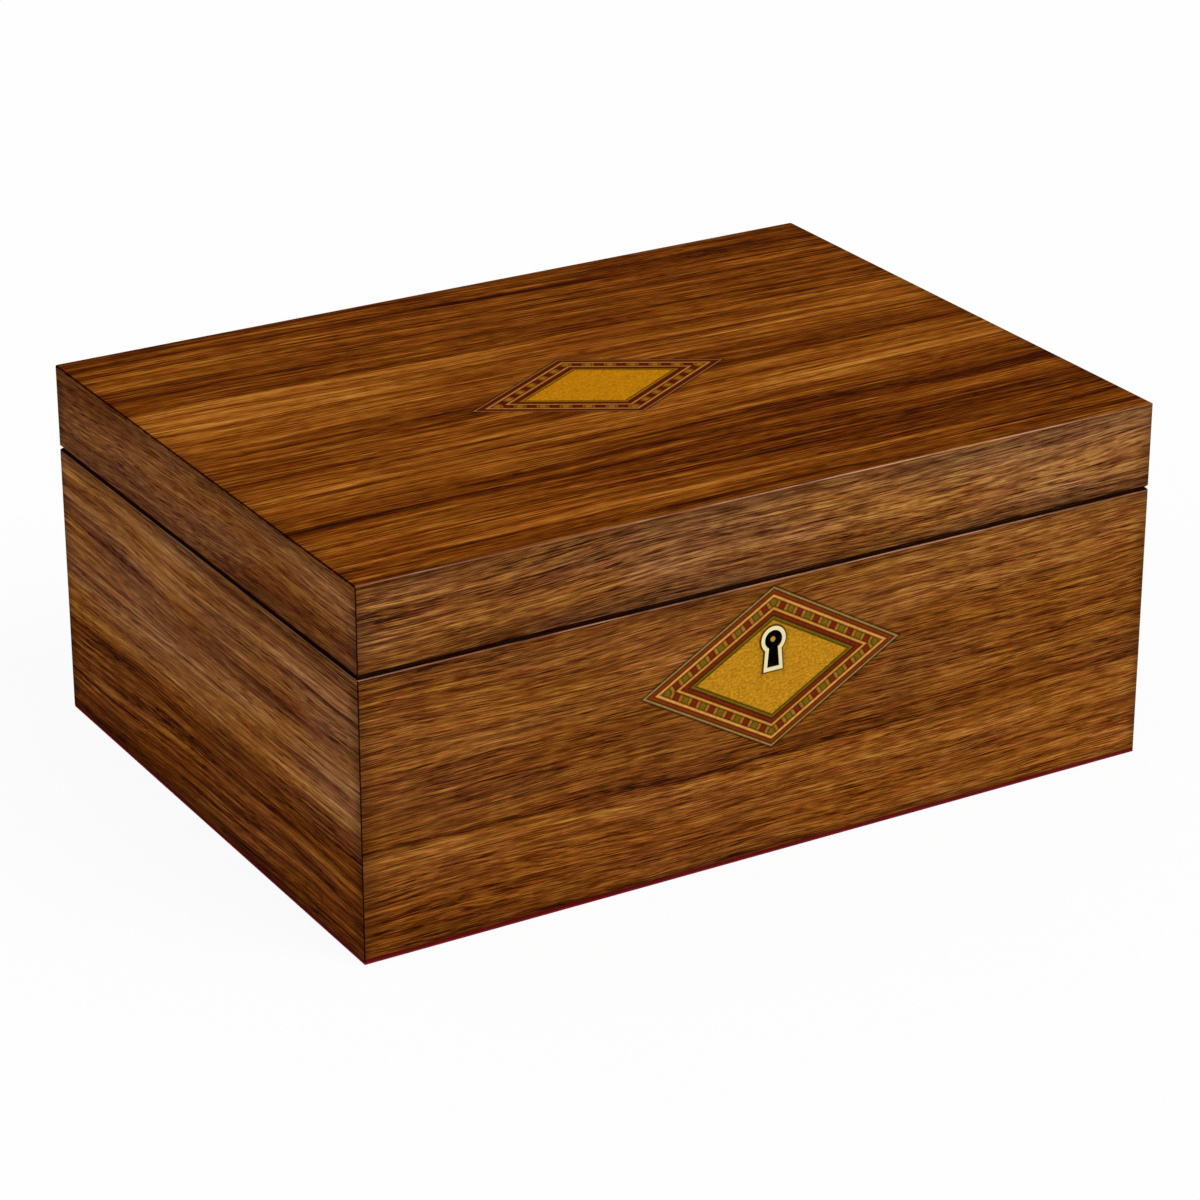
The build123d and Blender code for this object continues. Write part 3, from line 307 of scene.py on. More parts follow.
BOARDS = {
    "front": Board(
        axes="XZY", reach=HALF_X, low=CASE_FOOT, high=SEAM,
        start=[
            (0.0, 0.37), (0.10, 0.41), (0.16, 0.47), (0.34, 0.55), (0.355, 0.36), (0.40, 0.46), (0.62, 0.43),
            (0.76, 0.50), (1.0, 0.46),
        ],
        end=[
            (0.0, 0.59), (0.05, 0.58), (0.10, 0.53), (0.14, 0.56), (0.34, 0.61), (0.355, 0.37), (0.46, 0.50),
            (0.64, 0.47), (0.80, 0.59), (1.0, 0.55),
        ],
        drift=(0.0, -0.01), streaks=0.42, fibres=1.05, dull=(0.02, 0.03), yellow=(0.002, 0.004), seed=3.0,
    ),
    "front_lid": Board(
        axes="XZY", reach=HALF_X, low=SEAM, high=LID_TOP,
        start=[(0.0, 0.40), (0.30, 0.52), (0.48, 0.43), (0.72, 0.50), (1.0, 0.42)],
        end=[(0.0, 0.50), (0.26, 0.58), (0.55, 0.60), (0.80, 0.55), (1.0, 0.53)],
        drift=(-0.01, -0.03), streaks=0.45, fibres=1.15, dull=(0.07, 0.08), yellow=(0.006, 0.006), seed=11.0,
    ),
    "side": Board(
        axes="YZX", reach=HALF_Y, low=CASE_FOOT, high=SEAM,
        start=[
            (0.0, 0.47), (0.05, 0.41), (0.12, 0.47), (0.24, 0.42), (0.30, 0.32), (0.40, 0.46), (0.47, 0.61),
            (0.58, 0.60), (0.66, 0.56), (0.74, 0.53), (0.82, 0.58), (1.0, 0.53),
        ],
        end=[
            (0.0, 0.41), (0.05, 0.33), (0.10, 0.40), (0.24, 0.44), (0.34, 0.40), (0.44, 0.55), (0.54, 0.57),
            (0.66, 0.54), (0.76, 0.52), (0.86, 0.56), (1.0, 0.51),
        ],
        drift=(0.01, 0.0), streaks=0.85, fibres=0.60, dull=(0.025, 0.085), yellow=(0.0, 0.004), seed=23.0,
    ),
    "side_lid": Board(
        axes="YZX", reach=HALF_Y, low=SEAM, high=LID_TOP,
        start=[(0.0, 0.44), (0.22, 0.42), (0.45, 0.52), (0.75, 0.54), (1.0, 0.46)],
        end=[(0.0, 0.44), (0.30, 0.45), (0.60, 0.48), (1.0, 0.44)],
        drift=(0.02, 0.01), streaks=0.42, fibres=0.80, dull=(0.07, 0.07), yellow=(0.004, 0.004), seed=31.0,
    ),
    "top": Board(
        axes="XYZ", reach=HALF_X, low=-HALF_Y, high=HALF_Y,
        start=[
            (0.0, 0.38), (0.05, 0.50), (0.12, 0.57), (0.17, 0.53), (0.21, 0.30), (0.26, 0.49), (0.34, 0.55),
            (0.42, 0.42), (0.50, 0.45), (0.58, 0.53), (0.66, 0.62), (0.735, 0.58), (0.745, 0.32),
            (0.76, 0.48), (0.80, 0.26), (0.83, 0.40), (0.87, 0.48), (0.90, 0.46), (0.94, 0.52),
            (0.955, 0.34), (0.97, 0.46), (1.0, 0.40),
        ],
        end=[
            (0.0, 0.37), (0.08, 0.43), (0.12, 0.25), (0.17, 0.29), (0.21, 0.49), (0.25, 0.31), (0.28, 0.25),
            (0.31, 0.49), (0.37, 0.59), (0.46, 0.49), (0.53, 0.31), (0.57, 0.35), (0.60, 0.51), (0.70, 0.57),
            (0.735, 0.55), (0.745, 0.33), (0.80, 0.47), (0.88, 0.49), (0.89, 0.31), (0.93, 0.49),
            (0.955, 0.31), (1.0, 0.43),
        ],
        drift=(0.0, 0.036), streaks=1.05, fibres=0.68, dull=(0.0, 0.0), yellow=(-0.001, -0.001), seed=47.0,
    ),
    "inside": Board(
        axes="XYZ", reach=HALF_X, low=-HALF_Y, high=HALF_Y,
        start=[(0.0, 0.48), (0.5, 0.52), (1.0, 0.48)],
        end=[(0.0, 0.46), (0.5, 0.50), (1.0, 0.46)],
        drift=(0.0, 0.01), streaks=0.6, fibres=0.8, dull=(0.03, 0.03), yellow=(0.003, 0.003), seed=61.0,
    ),
}

# The waves of the line that the figure follows, and how far each sways across the board
WAVES = (
    (Pattern(150 * MM, 45 * MM, 0.3, 1.0), 9 * MM),
    (Pattern(40 * MM, 10 * MM, 0.9, 1.0), 1.4 * MM),
)
FIGURE = {
    "streaks": Layer(Pattern(160 * MM, 3.6 * MM, 1.7, 3.0, 0.6), 1.0, 1.0, 0.0),
    "fine streaks": Layer(Pattern(45 * MM, 1.0 * MM, 4.8, 3.0, 0.6), 1.3, 0.60, 0.15),
    "ripple": Layer(Pattern(20 * MM, 0.95 * MM, 7.9, 2.0, 0.6), 3.0, 0.0, 0.09),
    "fibres": Layer(Pattern(9 * MM, 0.40 * MM, 11.0, 2.0, 0.6), 5.0, 0.0, 0.21),
    "curl": Layer(Pattern(7 * MM, 9 * MM, 14.1, 2.0, 0.6), 1.0, 0.0, 0.14),
}

RINGS = Pattern(500 * MM, 7 * MM, 17.0, 1.0)
RING_PATCHES = Pattern(100 * MM, 12 * MM, 19.0, 1.0)
DARK_LINES = Pattern(24 * MM, 0.36 * MM, 43.7)
PORES = Pattern(6.5 * MM, 0.36 * MM, 13.1, 1.0, 0.4)
OPEN_GRAIN = Pattern(40 * MM, 7 * MM, 15.9)
CLOUDS = Pattern(70 * MM, 16 * MM, 27.0)
HUES = Pattern(18 * MM, 1.2 * MM, 51.3, 2.0, 0.6)
EDGE_PATCHES = Pattern(50 * MM, 14 * MM, 21.0)
PAINTED_HIGHLIGHT_PATCHES = Pattern(30 * MM, 5 * MM, 41.0, 3.0)

# What the rings, the dark lines and the pores take from the tone, half a ring in its pattern, and how far the
# hue turns in patches
RING_DARK = 0.18
LINE_DARK = 0.14
PORE_DARK = 0.22
RING_HALF = 0.035
HUE_TURN = 0.04

# The walnut's colours by its tone
TONES = ((0.0, "pore"), (0.14, "dark"), (0.42, "middle"), (0.62, "bright"), (0.88, "light"))

# Stains, painted shade and painted highlights along the edges. The soft stain round every board ends at a
# distance that varies between two lengths, and the painted highlight of the case lies this far under the
# middle of the seam
SOFT_REACH = (3 * MM, 13 * MM)
SOFT_STAIN = Stain(0.0, 1.0, 0.40)
SOFT_LID_STAIN = Stain(0.0, 1.0, 0.22)
LID_EDGE = Stain(0.32 * MM, 0.58 * MM, 0.92)
# Painted highlights: the pale lines where light catches the rounded upper edges of the lid and the case
LID_PAINTED_HIGHLIGHT = Stain(0.20 * MM, 0.42 * MM, 0.9, "worn")
FRONT_PAINTED_HIGHLIGHT = Stain(0.11 * MM, 0.22 * MM, 0.75, "worn")
SIDE_PAINTED_HIGHLIGHT = Stain(0.11 * MM, 0.22 * MM, 0.3, "worn")
CASE_PAINTED_HIGHLIGHTS = {"front": FRONT_PAINTED_HIGHLIGHT, "side": SIDE_PAINTED_HIGHLIGHT}
PAINTED_HIGHLIGHT_PLACE = 1.02 * MM
CORNER = Stain(0.30 * MM, 0.52 * MM, 0.94)
FOOT = Stain(0.65 * MM, 1.25 * MM, 0.88, "foot")
# Painted shade in the groove of the seam between the lid and the case
FRONT_SEAM_PAINTED_SHADE = Stain(0.68 * MM, 0.80 * MM, 0.97)
SIDE_SEAM_PAINTED_SHADE = Stain(0.92 * MM, 1.04 * MM, 0.97)
SEAM_PAINTED_SHADES = {"front": FRONT_SEAM_PAINTED_SHADE, "front_lid": FRONT_SEAM_PAINTED_SHADE, "side": SIDE_SEAM_PAINTED_SHADE, "side_lid": SIDE_SEAM_PAINTED_SHADE}
GLUE = Stain(0.15 * MM, 0.75 * MM, 0.72)
# Painted shade inside the keyhole: how far from its middle it is full and where it ends
KEYHOLE_PAINTED_SHADE = Stain(12 * MM, 14 * MM, 0.88)

# How deep the marks on the wood reach, and from which depth on it is bare
SKIN_STAINED = 0.7 * MM
SKIN_BARE = 1.2 * MM

DIAMONDS = {"front": "front_inlay_green", "top": "lid_inlay_green"}


def lean(tree, value, weight, base):
    """A base that a value from 0 to 1 moves to either side of itself, by up to half of a weight."""
    return calc(tree, "MULTIPLY_ADD", calc(tree, "SUBTRACT", value, 0.5), weight, base)


def gap_to(tree, value, place):
    """How far a coordinate is from a place, on either side of it."""
    return calc(tree, "ABSOLUTE", calc(tree, "SUBTRACT", value, place))


def mark_strength(tree, gap, stain):
    """How strong an edge mark is at a distance from its edge."""
    return remap(tree, gap, stain.full, stain.none, stain.strength, 0.0)


def diamond(node, axis):
    """The middle of a diamond along an axis, and half its length and half its height."""
    low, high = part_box(node)
    index = "XYZ".index(axis)
    middle, half = (low + high) / 2, (high - low) / 2
    return middle[index], half.x, half[index]


def diamond_share(tree, along, across, node, axis):
    """How far out a point is in a diamond, from 0 to 1 on its outline, and how far out a side is."""
    middle, half_x, half_y = diamond(node, axis)
    side = calc(tree, "DIVIDE", calc(tree, "ABSOLUTE", along), half_x)
    rise = calc(tree, "DIVIDE", gap_to(tree, across, middle), half_y)
    return calc(tree, "ADD", side, rise), half_x * half_y / hypot(half_x, half_y)


def walnut_material(key, board, settings):
    """Striped veneer under satin varnish: bands, streaks, rings, fibres, pores, stained edges, painted shade
    in the seam and the keyhole, painted highlights on the upper edges and a painted haze for the varnish's
    reflection.
    """
    material, tree = new_material("walnut_" + key)
    axes = place_axes(tree)
    along, across, depth = (axes[axis] for axis in board.axes)
    up = remap(tree, across, board.low, board.high, smooth=False)
    on = remap(tree, along, -board.reach, board.reach)

    def grain(pattern, line=across):
        """A pattern drawn out along the grain of the board."""
        start = calc(tree, "ADD", calc(tree, "DIVIDE", depth, pattern.spread), board.seed + pattern.start)
        run = calc(tree, "DIVIDE", along, pattern.run)
        place = vector(tree, run, calc(tree, "DIVIDE", line, pattern.spread), start)
        return noise(tree, place, pattern.octaves, pattern.rough)

    # The line that the figure follows: across the board, drifting and waving along it
    drift = remap(tree, up, 0.25, 0.75, *board.drift)
    line = calc(tree, "MULTIPLY_ADD", calc(tree, "ADD", along, board.reach), drift, across)
    for wave, sway in WAVES:
        line = lean(tree, grain(wave), sway, line)

    share = remap(tree, line, board.low, board.high, smooth=False)
    bands = {0: on, 2: ramp(tree, share, board.start), 3: ramp(tree, share, board.end)}
    tone = add(tree, "ShaderNodeMix", bands, data_type="FLOAT").outputs[0]
    layers = {}
    for name, layer in FIGURE.items():
        half = 0.5 / layer.sharp
        raw = grain(layer.pattern, line)
        layers[name] = remap(tree, raw, 0.5 - half, 0.5 + half, smooth=layer.sharp > 2)
        weight = layer.streaks * board.streaks + layer.fibres * board.fibres
        tone = lean(tree, layers[name], weight, tone)

    # Dark rings that come and go along the board
    rings = remap(tree, gap_to(tree, grain(RINGS, line), 0.5), 0.0, RING_HALF, 1.0, 0.0)
    rings = calc(tree, "MULTIPLY", rings, remap(tree, grain(RING_PATCHES), 0.42, 0.62))
    tone = calc(tree, "MULTIPLY_ADD", rings, -RING_DARK * board.streaks, tone)

    # Fine dark lines along the grain, and open pores in patches
    lines = remap(tree, grain(DARK_LINES, line), 0.50, 0.60)
    tone = calc(tree, "MULTIPLY_ADD", lines, -LINE_DARK * board.fibres, tone)
    open_grain = remap(tree, grain(OPEN_GRAIN), 0.35, 0.65, 0.3, 1.0)
    pores = calc(tree, "MULTIPLY", remap(tree, grain(PORES, line), 0.56, 0.64), open_grain)
    tone = calc(tree, "MULTIPLY_ADD", pores, -PORE_DARK, tone)
    colour = ramp(tree, tone, [(place, settings[shade]) for place, shade in TONES])

    # A painted grey haze stands in for the varnish's reflection and is stronger in clouds, and the hue turns
    # in patches
    clouds = remap(tree, grain(CLOUDS, line), 0.35, 0.65, 0.6, 1.4)
    dull = calc(tree, "MULTIPLY", remap(tree, up, 0.3, 0.6, *board.dull), clouds)
    hue = lean(tree, grain(HUES, line), HUE_TURN, remap(tree, up, 0.15, 0.6, *board.yellow))
    shift = {
        "Hue": calc(tree, "ADD", hue, 0.5),
        "Saturation": calc(tree, "SUBTRACT", 1.0, dull),
        "Color": colour,
    }
    colour = add(tree, "ShaderNodeHueSaturation", shift).outputs[0]

    outside = outer_skin(tree, depth, board)
    # The painted highlights on the upper edges break up in patches; the loop lays the stains, the painted
    # seam shade and the painted highlights
    highlit = remap(tree, grain(PAINTED_HIGHLIGHT_PATCHES), 0.38, 0.62, 0.30, 1.0)
    soft_reach = remap(tree, grain(EDGE_PATCHES), 0.2, 0.8, *SOFT_REACH)
    for gap, stain in edge_marks(tree, key, board, axes, soft_reach):
        cover = mark_strength(tree, gap, stain)
        if stain.shade == "worn":
            cover = calc(tree, "MULTIPLY", cover, highlit)
        colour = blend_colour(tree, calc(tree, "MULTIPLY", cover, outside), colour, settings[stain.shade])
    # Painted shade on the walls of the keyhole's bore
    if key == "front":
        colour = blend_colour(tree, keyhole_painted_shade(tree, axes), colour, settings["stain"])

    height = calc(tree, "MULTIPLY_ADD", layers["fibres"], 0.25, calc(tree, "SUBTRACT", 1.0, pores))
    satin = settings["roughness"]
    surface(
        tree,
        Base_Color=colour,
        Roughness=remap(tree, layers["fine streaks"], 0.2, 0.8, satin - 0.05, satin + 0.08),
        Specular_IOR_Level=settings["gloss"],
        Normal=bump(tree, height, settings["pore_depth"], 0.6),
    )
    return material


def edge_marks(tree, key, board, axes, soft_reach):
    """The stains, the painted seam shade and the painted highlights of a board, each with how far a point is
    from its edge.
    """
    along, across, _ = (axes[axis] for axis in board.axes)
    ends = calc(tree, "SUBTRACT", board.reach, calc(tree, "ABSOLUTE", along))
    foot = gap_to(tree, across, board.low)
    head = gap_to(tree, across, board.high)
    near = calc(tree, "MINIMUM", calc(tree, "MINIMUM", ends, foot), head)
    soft = SOFT_LID_STAIN if key == "top" else SOFT_STAIN
    marks = [(calc(tree, "DIVIDE", near, soft_reach), soft)]
    if key == "top":
        drop = calc(tree, "SUBTRACT", LID_TOP, axes["Z"])
        marks.append((calc(tree, "MAXIMUM", calc(tree, "MINIMUM", ends, head), drop), LID_EDGE))
        # Painted highlight along the front edge of the lid's top
        marks.append((calc(tree, "MAXIMUM", foot, drop), LID_PAINTED_HIGHLIGHT))
    if key in ("front", "side"):
        marks.append((foot, FOOT))
    # Painted shade in the groove of the seam, and on the case a painted highlight under it
    if key in SEAM_PAINTED_SHADES:
        seam = gap_to(tree, across, SEAM)
        marks += [(ends, CORNER), (seam, SEAM_PAINTED_SHADES[key])]
        if key in CASE_PAINTED_HIGHLIGHTS:
            marks.append((gap_to(tree, seam, PAINTED_HIGHLIGHT_PLACE), CASE_PAINTED_HIGHLIGHTS[key]))
    if key in DIAMONDS:
        out, apothem = diamond_share(tree, along, across, DIAMONDS[key], board.axes[1])
        beyond = calc(tree, "MULTIPLY", calc(tree, "SUBTRACT", out, 1.0), apothem)
        if key == "front":
            # The back wall shares this board and has no diamond, so its points count as far from one
            beyond = calc(tree, "MAXIMUM", beyond, axes["Y"])
        marks.append((beyond, GLUE))
    return marks


def keyhole_painted_shade(tree, axes):
    """How strongly painted shade darkens a point inside the keyhole, behind the face of the box."""
    _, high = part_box("keyhole_lining")
    away = span(tree, axes["X"], calc(tree, "SUBTRACT", axes["Z"], high.z - high.x))
    in_front = calc(tree, "LESS_THAN", axes["Y"], 0.0)
    near = calc(tree, "MULTIPLY", mark_strength(tree, away, KEYHOLE_PAINTED_SHADE), in_front)
    return calc(tree, "MULTIPLY", near, remap(tree, axes["Y"], 0.1 * MM - HALF_Y, 0.4 * MM - HALF_Y))


def outer_skin(tree, depth, board):
    """1 on the outside of the box and 0 on the faces that the lid covers and on the inside."""
    face = {"X": HALF_X, "Y": HALF_Y, "Z": LID_TOP}[board.axes[2]]
    return remap(tree, calc(tree, "ABSOLUTE", depth), face - SKIN_BARE, face - SKIN_STAINED)


WALNUT_NODES = {
    "front": ("case_front", "case_back"),
    "front_lid": ("lid_front", "lid_back"),
    "side": ("case_left", "case_right"),
    "side_lid": ("lid_left", "lid_right"),
    "top": ("lid_veneer",),
    "inside": (
        "case_bottom", "lid_board", "mirror_frame", "glass_ledges", "tray_runners", "tray_floor",
        "stop_guide",
    ),
}


class JEWELBOX_OT_walnut(bpy.types.Operator):
    """Finishes the walls, the lid and the small woodwork in walnut veneer"""

    bl_idname = "jewelbox.walnut"
    bl_label = "Walnut"

    def execute(self, context):
        chosen = context.scene.jewelbox_walnut
        colours = ("dark", "middle", "bright", "light", "pore", "stain", "worn", "foot")
        settings = {key: tuple(getattr(chosen, key)) for key in colours}
        settings.update(roughness=chosen.roughness, pore_depth=chosen.pore_depth, gloss=chosen.gloss)
        for key, board in BOARDS.items():
            walnut = walnut_material(key, board, settings)
            for node in WALNUT_NODES[key]:
                dress(node, walnut)
        return {"FINISHED"}


# Marquetry

# How far in from the outline each band of the diamond ends, and which of these ends the outer bands
BAND_EDGES = [edge * MM for edge in (0.0, 0.85, 2.25, 3.4, 6.0, 7.1, 8.6, 9.8)]
OUTER_BANDS_END = BAND_EDGES[3]

# The band of blocks: its middle and half width, the steps of a side, and where its blocks meet the light wood
# between them, from the middle of a green one
BLOCK_MIDDLE = 4.7 * MM
BLOCK_HALF = 1.3 * MM
SIDE_STEPS = 12
BLOCK_EDGES = (1.2 * MM, 2.6 * MM)
BLOCK_JOINT = Stain(0.05 * MM, 0.40 * MM, 0.55)

# Where the red of a block shows in the light wood beside it, from the middle of a green one, and how strongly
BLEED = (1.7 * MM, 2.1 * MM, 0.0, 0.85)

# Dark glue lines, and the painted shadow round the keyhole lining: how far in they are darkest, where they
# end, and the share of the colour that is left in them
GLUE_LINE = (0.10 * MM, 0.45 * MM, 0.34)
KEYHOLE_PAINTED_SHADOWS = ((0.25 * MM, 0.85 * MM, 0.16), (0.0, 3.0 * MM, 0.80))

# The half width of the keyhole lining at its foot and under its head, in shares of the radius of its head
SLOT_FOOT = 0.79
SLOT_TOP = 0.62

# The grain of the dyed woods
WAVY_LINE = Pattern(9 * MM, 9 * MM, 0.0, 2.0, 0.6)
FINE_GRAIN = Pattern(3 * MM, 0.6 * MM, 1.0, 3.0, 0.6)
GRIT = Pattern(1.2 * MM, 0.8 * MM, 3.0, 2.0, 0.6)
MOTTLE = Pattern(6 * MM, 4 * MM, 5.0, 2.0, 0.6)


def keyhole_gap(tree, axes):
    """How far a point on the front is outside the outline of the keyhole lining."""
    low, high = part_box("keyhole_lining")
    radius = high.x
    middle = high.z - radius
    side = calc(tree, "ABSOLUTE", axes["X"])
    rise = calc(tree, "SUBTRACT", axes["Z"], middle)
    head = calc(tree, "SUBTRACT", span(tree, side, rise), radius)
    half = remap(tree, axes["Z"], low.z, middle, SLOT_FOOT * radius, SLOT_TOP * radius, smooth=False)
    below = calc(tree, "SUBTRACT", low.z, axes["Z"])
    slot = calc(tree, "MAXIMUM", calc(tree, "SUBTRACT", side, half), below)
    return calc(tree, "MINIMUM", head, calc(tree, "MAXIMUM", slot, rise))


def along_blocks(tree, along, across, node, axis):
    """How far a point is along its side of the diamond from the middle of the nearest green block."""
    middle, half_x, half_y = diamond(node, axis)
    edge = hypot(half_x, half_y)
    inner_share = 1 - BLOCK_MIDDLE * edge / (half_x * half_y)
    inward = calc(tree, "SUBTRACT", half_x * inner_share, calc(tree, "ABSOLUTE", along))
    rise = calc(tree, "MULTIPLY", gap_to(tree, across, middle), half_y / edge)
    run = calc(tree, "MULTIPLY_ADD", inward, half_x / edge, rise)
    return calc(tree, "PINGPONG", run, edge * inner_share / SIDE_STEPS)


def dyed_wood(name, inner, outer, axis, seed, bleed=None):
    """A dyed veneer with fine wavy grain and dark glue lines, toned from its inner bands to its outer ones;
    the front field also has a painted shadow round the keyhole lining.

    The colour that bleeds, if there is one, is that of the red blocks beside it.
    """
    material, tree = new_material("dyed_" + name)
    axes = place_axes(tree)
    along, across = axes["X"], axes[axis]

    def grain(pattern, line):
        """A pattern drawn out along the grain of the veneer."""
        run, width = calc(tree, "DIVIDE", along, pattern.run), calc(tree, "DIVIDE", line, pattern.spread)
        place = vector(tree, run, width, seed + pattern.start)
        return noise(tree, place, pattern.octaves, pattern.rough)

    line = calc(tree, "MULTIPLY_ADD", grain(WAVY_LINE, across), 2.5 * MM, across)
    fine = grain(FINE_GRAIN, line)
    grit = remap(tree, grain(GRIT, line), 0.35, 0.65)
    grit_weight = 0.42 if "field" in name else 0.24
    strength = 1.0
    for part, weight in ((fine, 0.40), (grit, grit_weight), (grain(MOTTLE, line), 0.40)):
        strength = calc(tree, "MULTIPLY", lean(tree, part, weight, 1.0), strength)

    # Glue lines between the bands, and a painted shadow round the keyhole lining
    outline = name.split("_")[0] + "_inlay_green"
    out, apothem = diamond_share(tree, along, across, outline, axis)
    from_edge = calc(tree, "MULTIPLY", calc(tree, "SUBTRACT", 1.0, out), apothem)
    glue_lines_and_shadows = [(gap_to(tree, from_edge, edge), GLUE_LINE) for edge in BAND_EDGES]
    # Painted shadow round the keyhole lining on the front field
    if name == "front_inlay_field":
        gap = keyhole_gap(tree, axes)
        glue_lines_and_shadows += [(gap, glue_line_or_shadow) for glue_line_or_shadow in KEYHOLE_PAINTED_SHADOWS]
    for gap, glue_line_or_shadow in glue_lines_and_shadows:
        strength = calc(tree, "MULTIPLY", remap(tree, gap, *glue_line_or_shadow, 1.0), strength)

    # Joints between the blocks
    beside = along_blocks(tree, along, across, outline, axis)
    from_middle = gap_to(tree, from_edge, BLOCK_MIDDLE)
    in_blocks = remap(tree, from_middle, BLOCK_HALF - 0.1 * MM, BLOCK_HALF, 1.0, 0.0)
    for edge in BLOCK_EDGES:
        joint = calc(tree, "MULTIPLY", mark_strength(tree, gap_to(tree, beside, edge), BLOCK_JOINT), in_blocks)
        strength = calc(tree, "MULTIPLY", calc(tree, "SUBTRACT", 1.0, joint), strength)

    inward = remap(tree, from_edge, OUTER_BANDS_END - 0.05 * MM, OUTER_BANDS_END + 0.1 * MM)
    colour = blend_colour(tree, inward, outer, inner)
    if bleed:
        colour = blend_colour(tree, remap(tree, beside, *BLEED), colour, bleed)
    surface(
        tree,
        Base_Color=scaled(tree, colour, strength),
        Roughness=remap(tree, fine, 0.2, 0.8, 0.34, 0.44),
        Specular_IOR_Level=VARNISH_GLOSS,
        Normal=bump(tree, grit, 0.03 * MM, 0.5),
    )
    return material


class JEWELBOX_OT_marquetry(bpy.types.Operator):
    """Dyes the woods of the front and lid diamonds"""

    bl_idname = "jewelbox.marquetry"
    bl_label = "Marquetry"

    def execute(self, context):
        chosen = context.scene.jewelbox_marquetry
        for where, axis, prefix in (("front", "Z", ""), ("lid", "Y", "lid_")):
            for index, wood in enumerate(("field", "green", "red", "gold", "light")):
                inner = tuple(getattr(chosen, prefix + wood))
                outer = tuple(getattr(chosen, prefix + wood + "_outer", inner))
                name = where + "_inlay_" + wood
                bleed = tuple(chosen.lid_red) if name == "lid_inlay_light" else None
                dress(name, dyed_wood(name, inner, outer, axis, 5.0 + index, bleed))
        return {"FINISHED"}


# Metals and glass

# How many features of each pattern there are to a metre
SMUDGES = 70.0
SCRATCHES_ALONG = 300.0
SCRATCHES_ACROSS = 4000.0
PANE_SMEARS = 40.0
MIRROR_SMEARS = 30.0

# The dark brown of the painted shade inside the keyhole
KEYHOLE_SHADE_BROWN = paint(58, 18, 10)
SILVER = ((0.2, (0.86, 0.88, 0.88)), (0.8, (0.92, 0.93, 0.93)))
CLEAR = ((0.3, (0.90, 0.96, 0.94)), (0.7, (0.97, 1.0, 0.99)))


def metal_material(name, colour, roughness, seed, keyhole_shaded=False):
    """Polished metal with faint smudges and fine scratches, and painted shade inside the keyhole where it is
    asked for.
    """
    material, tree = new_material(name)
    axes = place_axes(tree)
    smudges = noise(tree, scaled(tree, own_place(tree), SMUDGES), 3.0)
    along = calc(tree, "MULTIPLY", axes["X"], SCRATCHES_ALONG)
    across = calc(tree, "MULTIPLY", axes["Y"], SCRATCHES_ACROSS)
    deep = calc(tree, "MULTIPLY_ADD", axes["Z"], SCRATCHES_ACROSS, seed)
    scratches = noise(tree, vector(tree, along, across, deep), 2.0)
    dark = tuple(c * 0.88 for c in colour)
    shade = ramp(tree, smudges, [(0.3, dark), (0.65, colour)])
    # Painted shade inside the keyhole
    if keyhole_shaded:
        shade = blend_colour(tree, keyhole_painted_shade(tree, axes), shade, KEYHOLE_SHADE_BROWN)
    dull = remap(tree, smudges, 0.3, 0.7, roughness, roughness + 0.10)
    surface(
        tree,
        Base_Color=shade,
        Metallic=1.0,
        Roughness=calc(tree, "MULTIPLY_ADD", scratches, 0.06, dull),
        Normal=bump(tree, scratches, 0.008 * MM, 0.3),
    )
    return material


def glass_material(name, smear_count, shades, dullest, **values):
    """Smeared glass, with its two shades and its roughness where it is most smeared."""
    material, tree = new_material(name)
    smears = noise(tree, scaled(tree, own_place(tree), smear_count), 2.0)
    shade, dull = ramp(tree, smears, shades), remap(tree, smears, 0.3, 0.8, 0.01, dullest)
    surface(tree, Base_Color=shade, Roughness=dull, **values)
    return material


BRASS_NODES = (
    "hinge_case_leaves", "hinge_lid_leaves", "strike_plate", "movement_plate",
    "movement_posts", "pin_drum", "train_wheel", "stop_rod", "case_screws", "lid_screws",
)
STEEL_NODES = (
    "hinge_pins", "lock_bolt", "movement_screws", "tone_comb", "comb_screws", "air_brake", "spring_barrel",
    "mainspring", "winding_key",
)


class JEWELBOX_OT_metal(bpy.types.Operator):
    """Finishes the brass and steel of the lock, the hinges and the movement"""

    bl_idname = "jewelbox.metal"
    bl_label = "Brass and steel"

    def execute(self, context):
        chosen = context.scene.jewelbox_metal
        polish = chosen.roughness
        pale_polish = polish + 0.08
        brass, steel = tuple(chosen.brass), tuple(chosen.steel)
        pale, aged = tuple(chosen.keyhole), tuple(chosen.aged_brass)
        finishes = (
            (BRASS_NODES, metal_material("polished_brass", brass, polish, 1.0)),
            (STEEL_NODES, metal_material("hardened_steel", steel, polish, 2.0)),
            # The keyhole lining and the lock case get painted shade inside the keyhole
            (("keyhole_lining",), metal_material("keyhole_brass", pale, pale_polish, 3.0, keyhole_shaded=True)),
            (("lock_case",), metal_material("lock_brass", brass, polish, 4.0, keyhole_shaded=True)),
            (("lock_drill_pin",), metal_material("aged_brass", aged, polish, 5.0)),
        )
        for nodes, metal in finishes:
            for node in nodes:
                dress(node, metal)
        return {"FINISHED"}


class JEWELBOX_OT_glass(bpy.types.Operator):
    """Finishes the mirror and the pane over the movement"""

    bl_idname = "jewelbox.glass"
    bl_label = "Glass"

    def execute(self, context):
        mirror = glass_material("silvered_glass", MIRROR_SMEARS, SILVER, 0.03, Metallic=1.0)
        pane = glass_material("clear_pane", PANE_SMEARS, CLEAR, 0.05, Transmission_Weight=1.0, IOR=1.45)
        dress("mirror", mirror)
        dress("movement_glass", pane)
        return {"FINISHED"}


# Felt and velvet

VELVET_NODES = ("case_lining", "long_partition", "cross_partitions", "tray_walls", "tray_dividers")

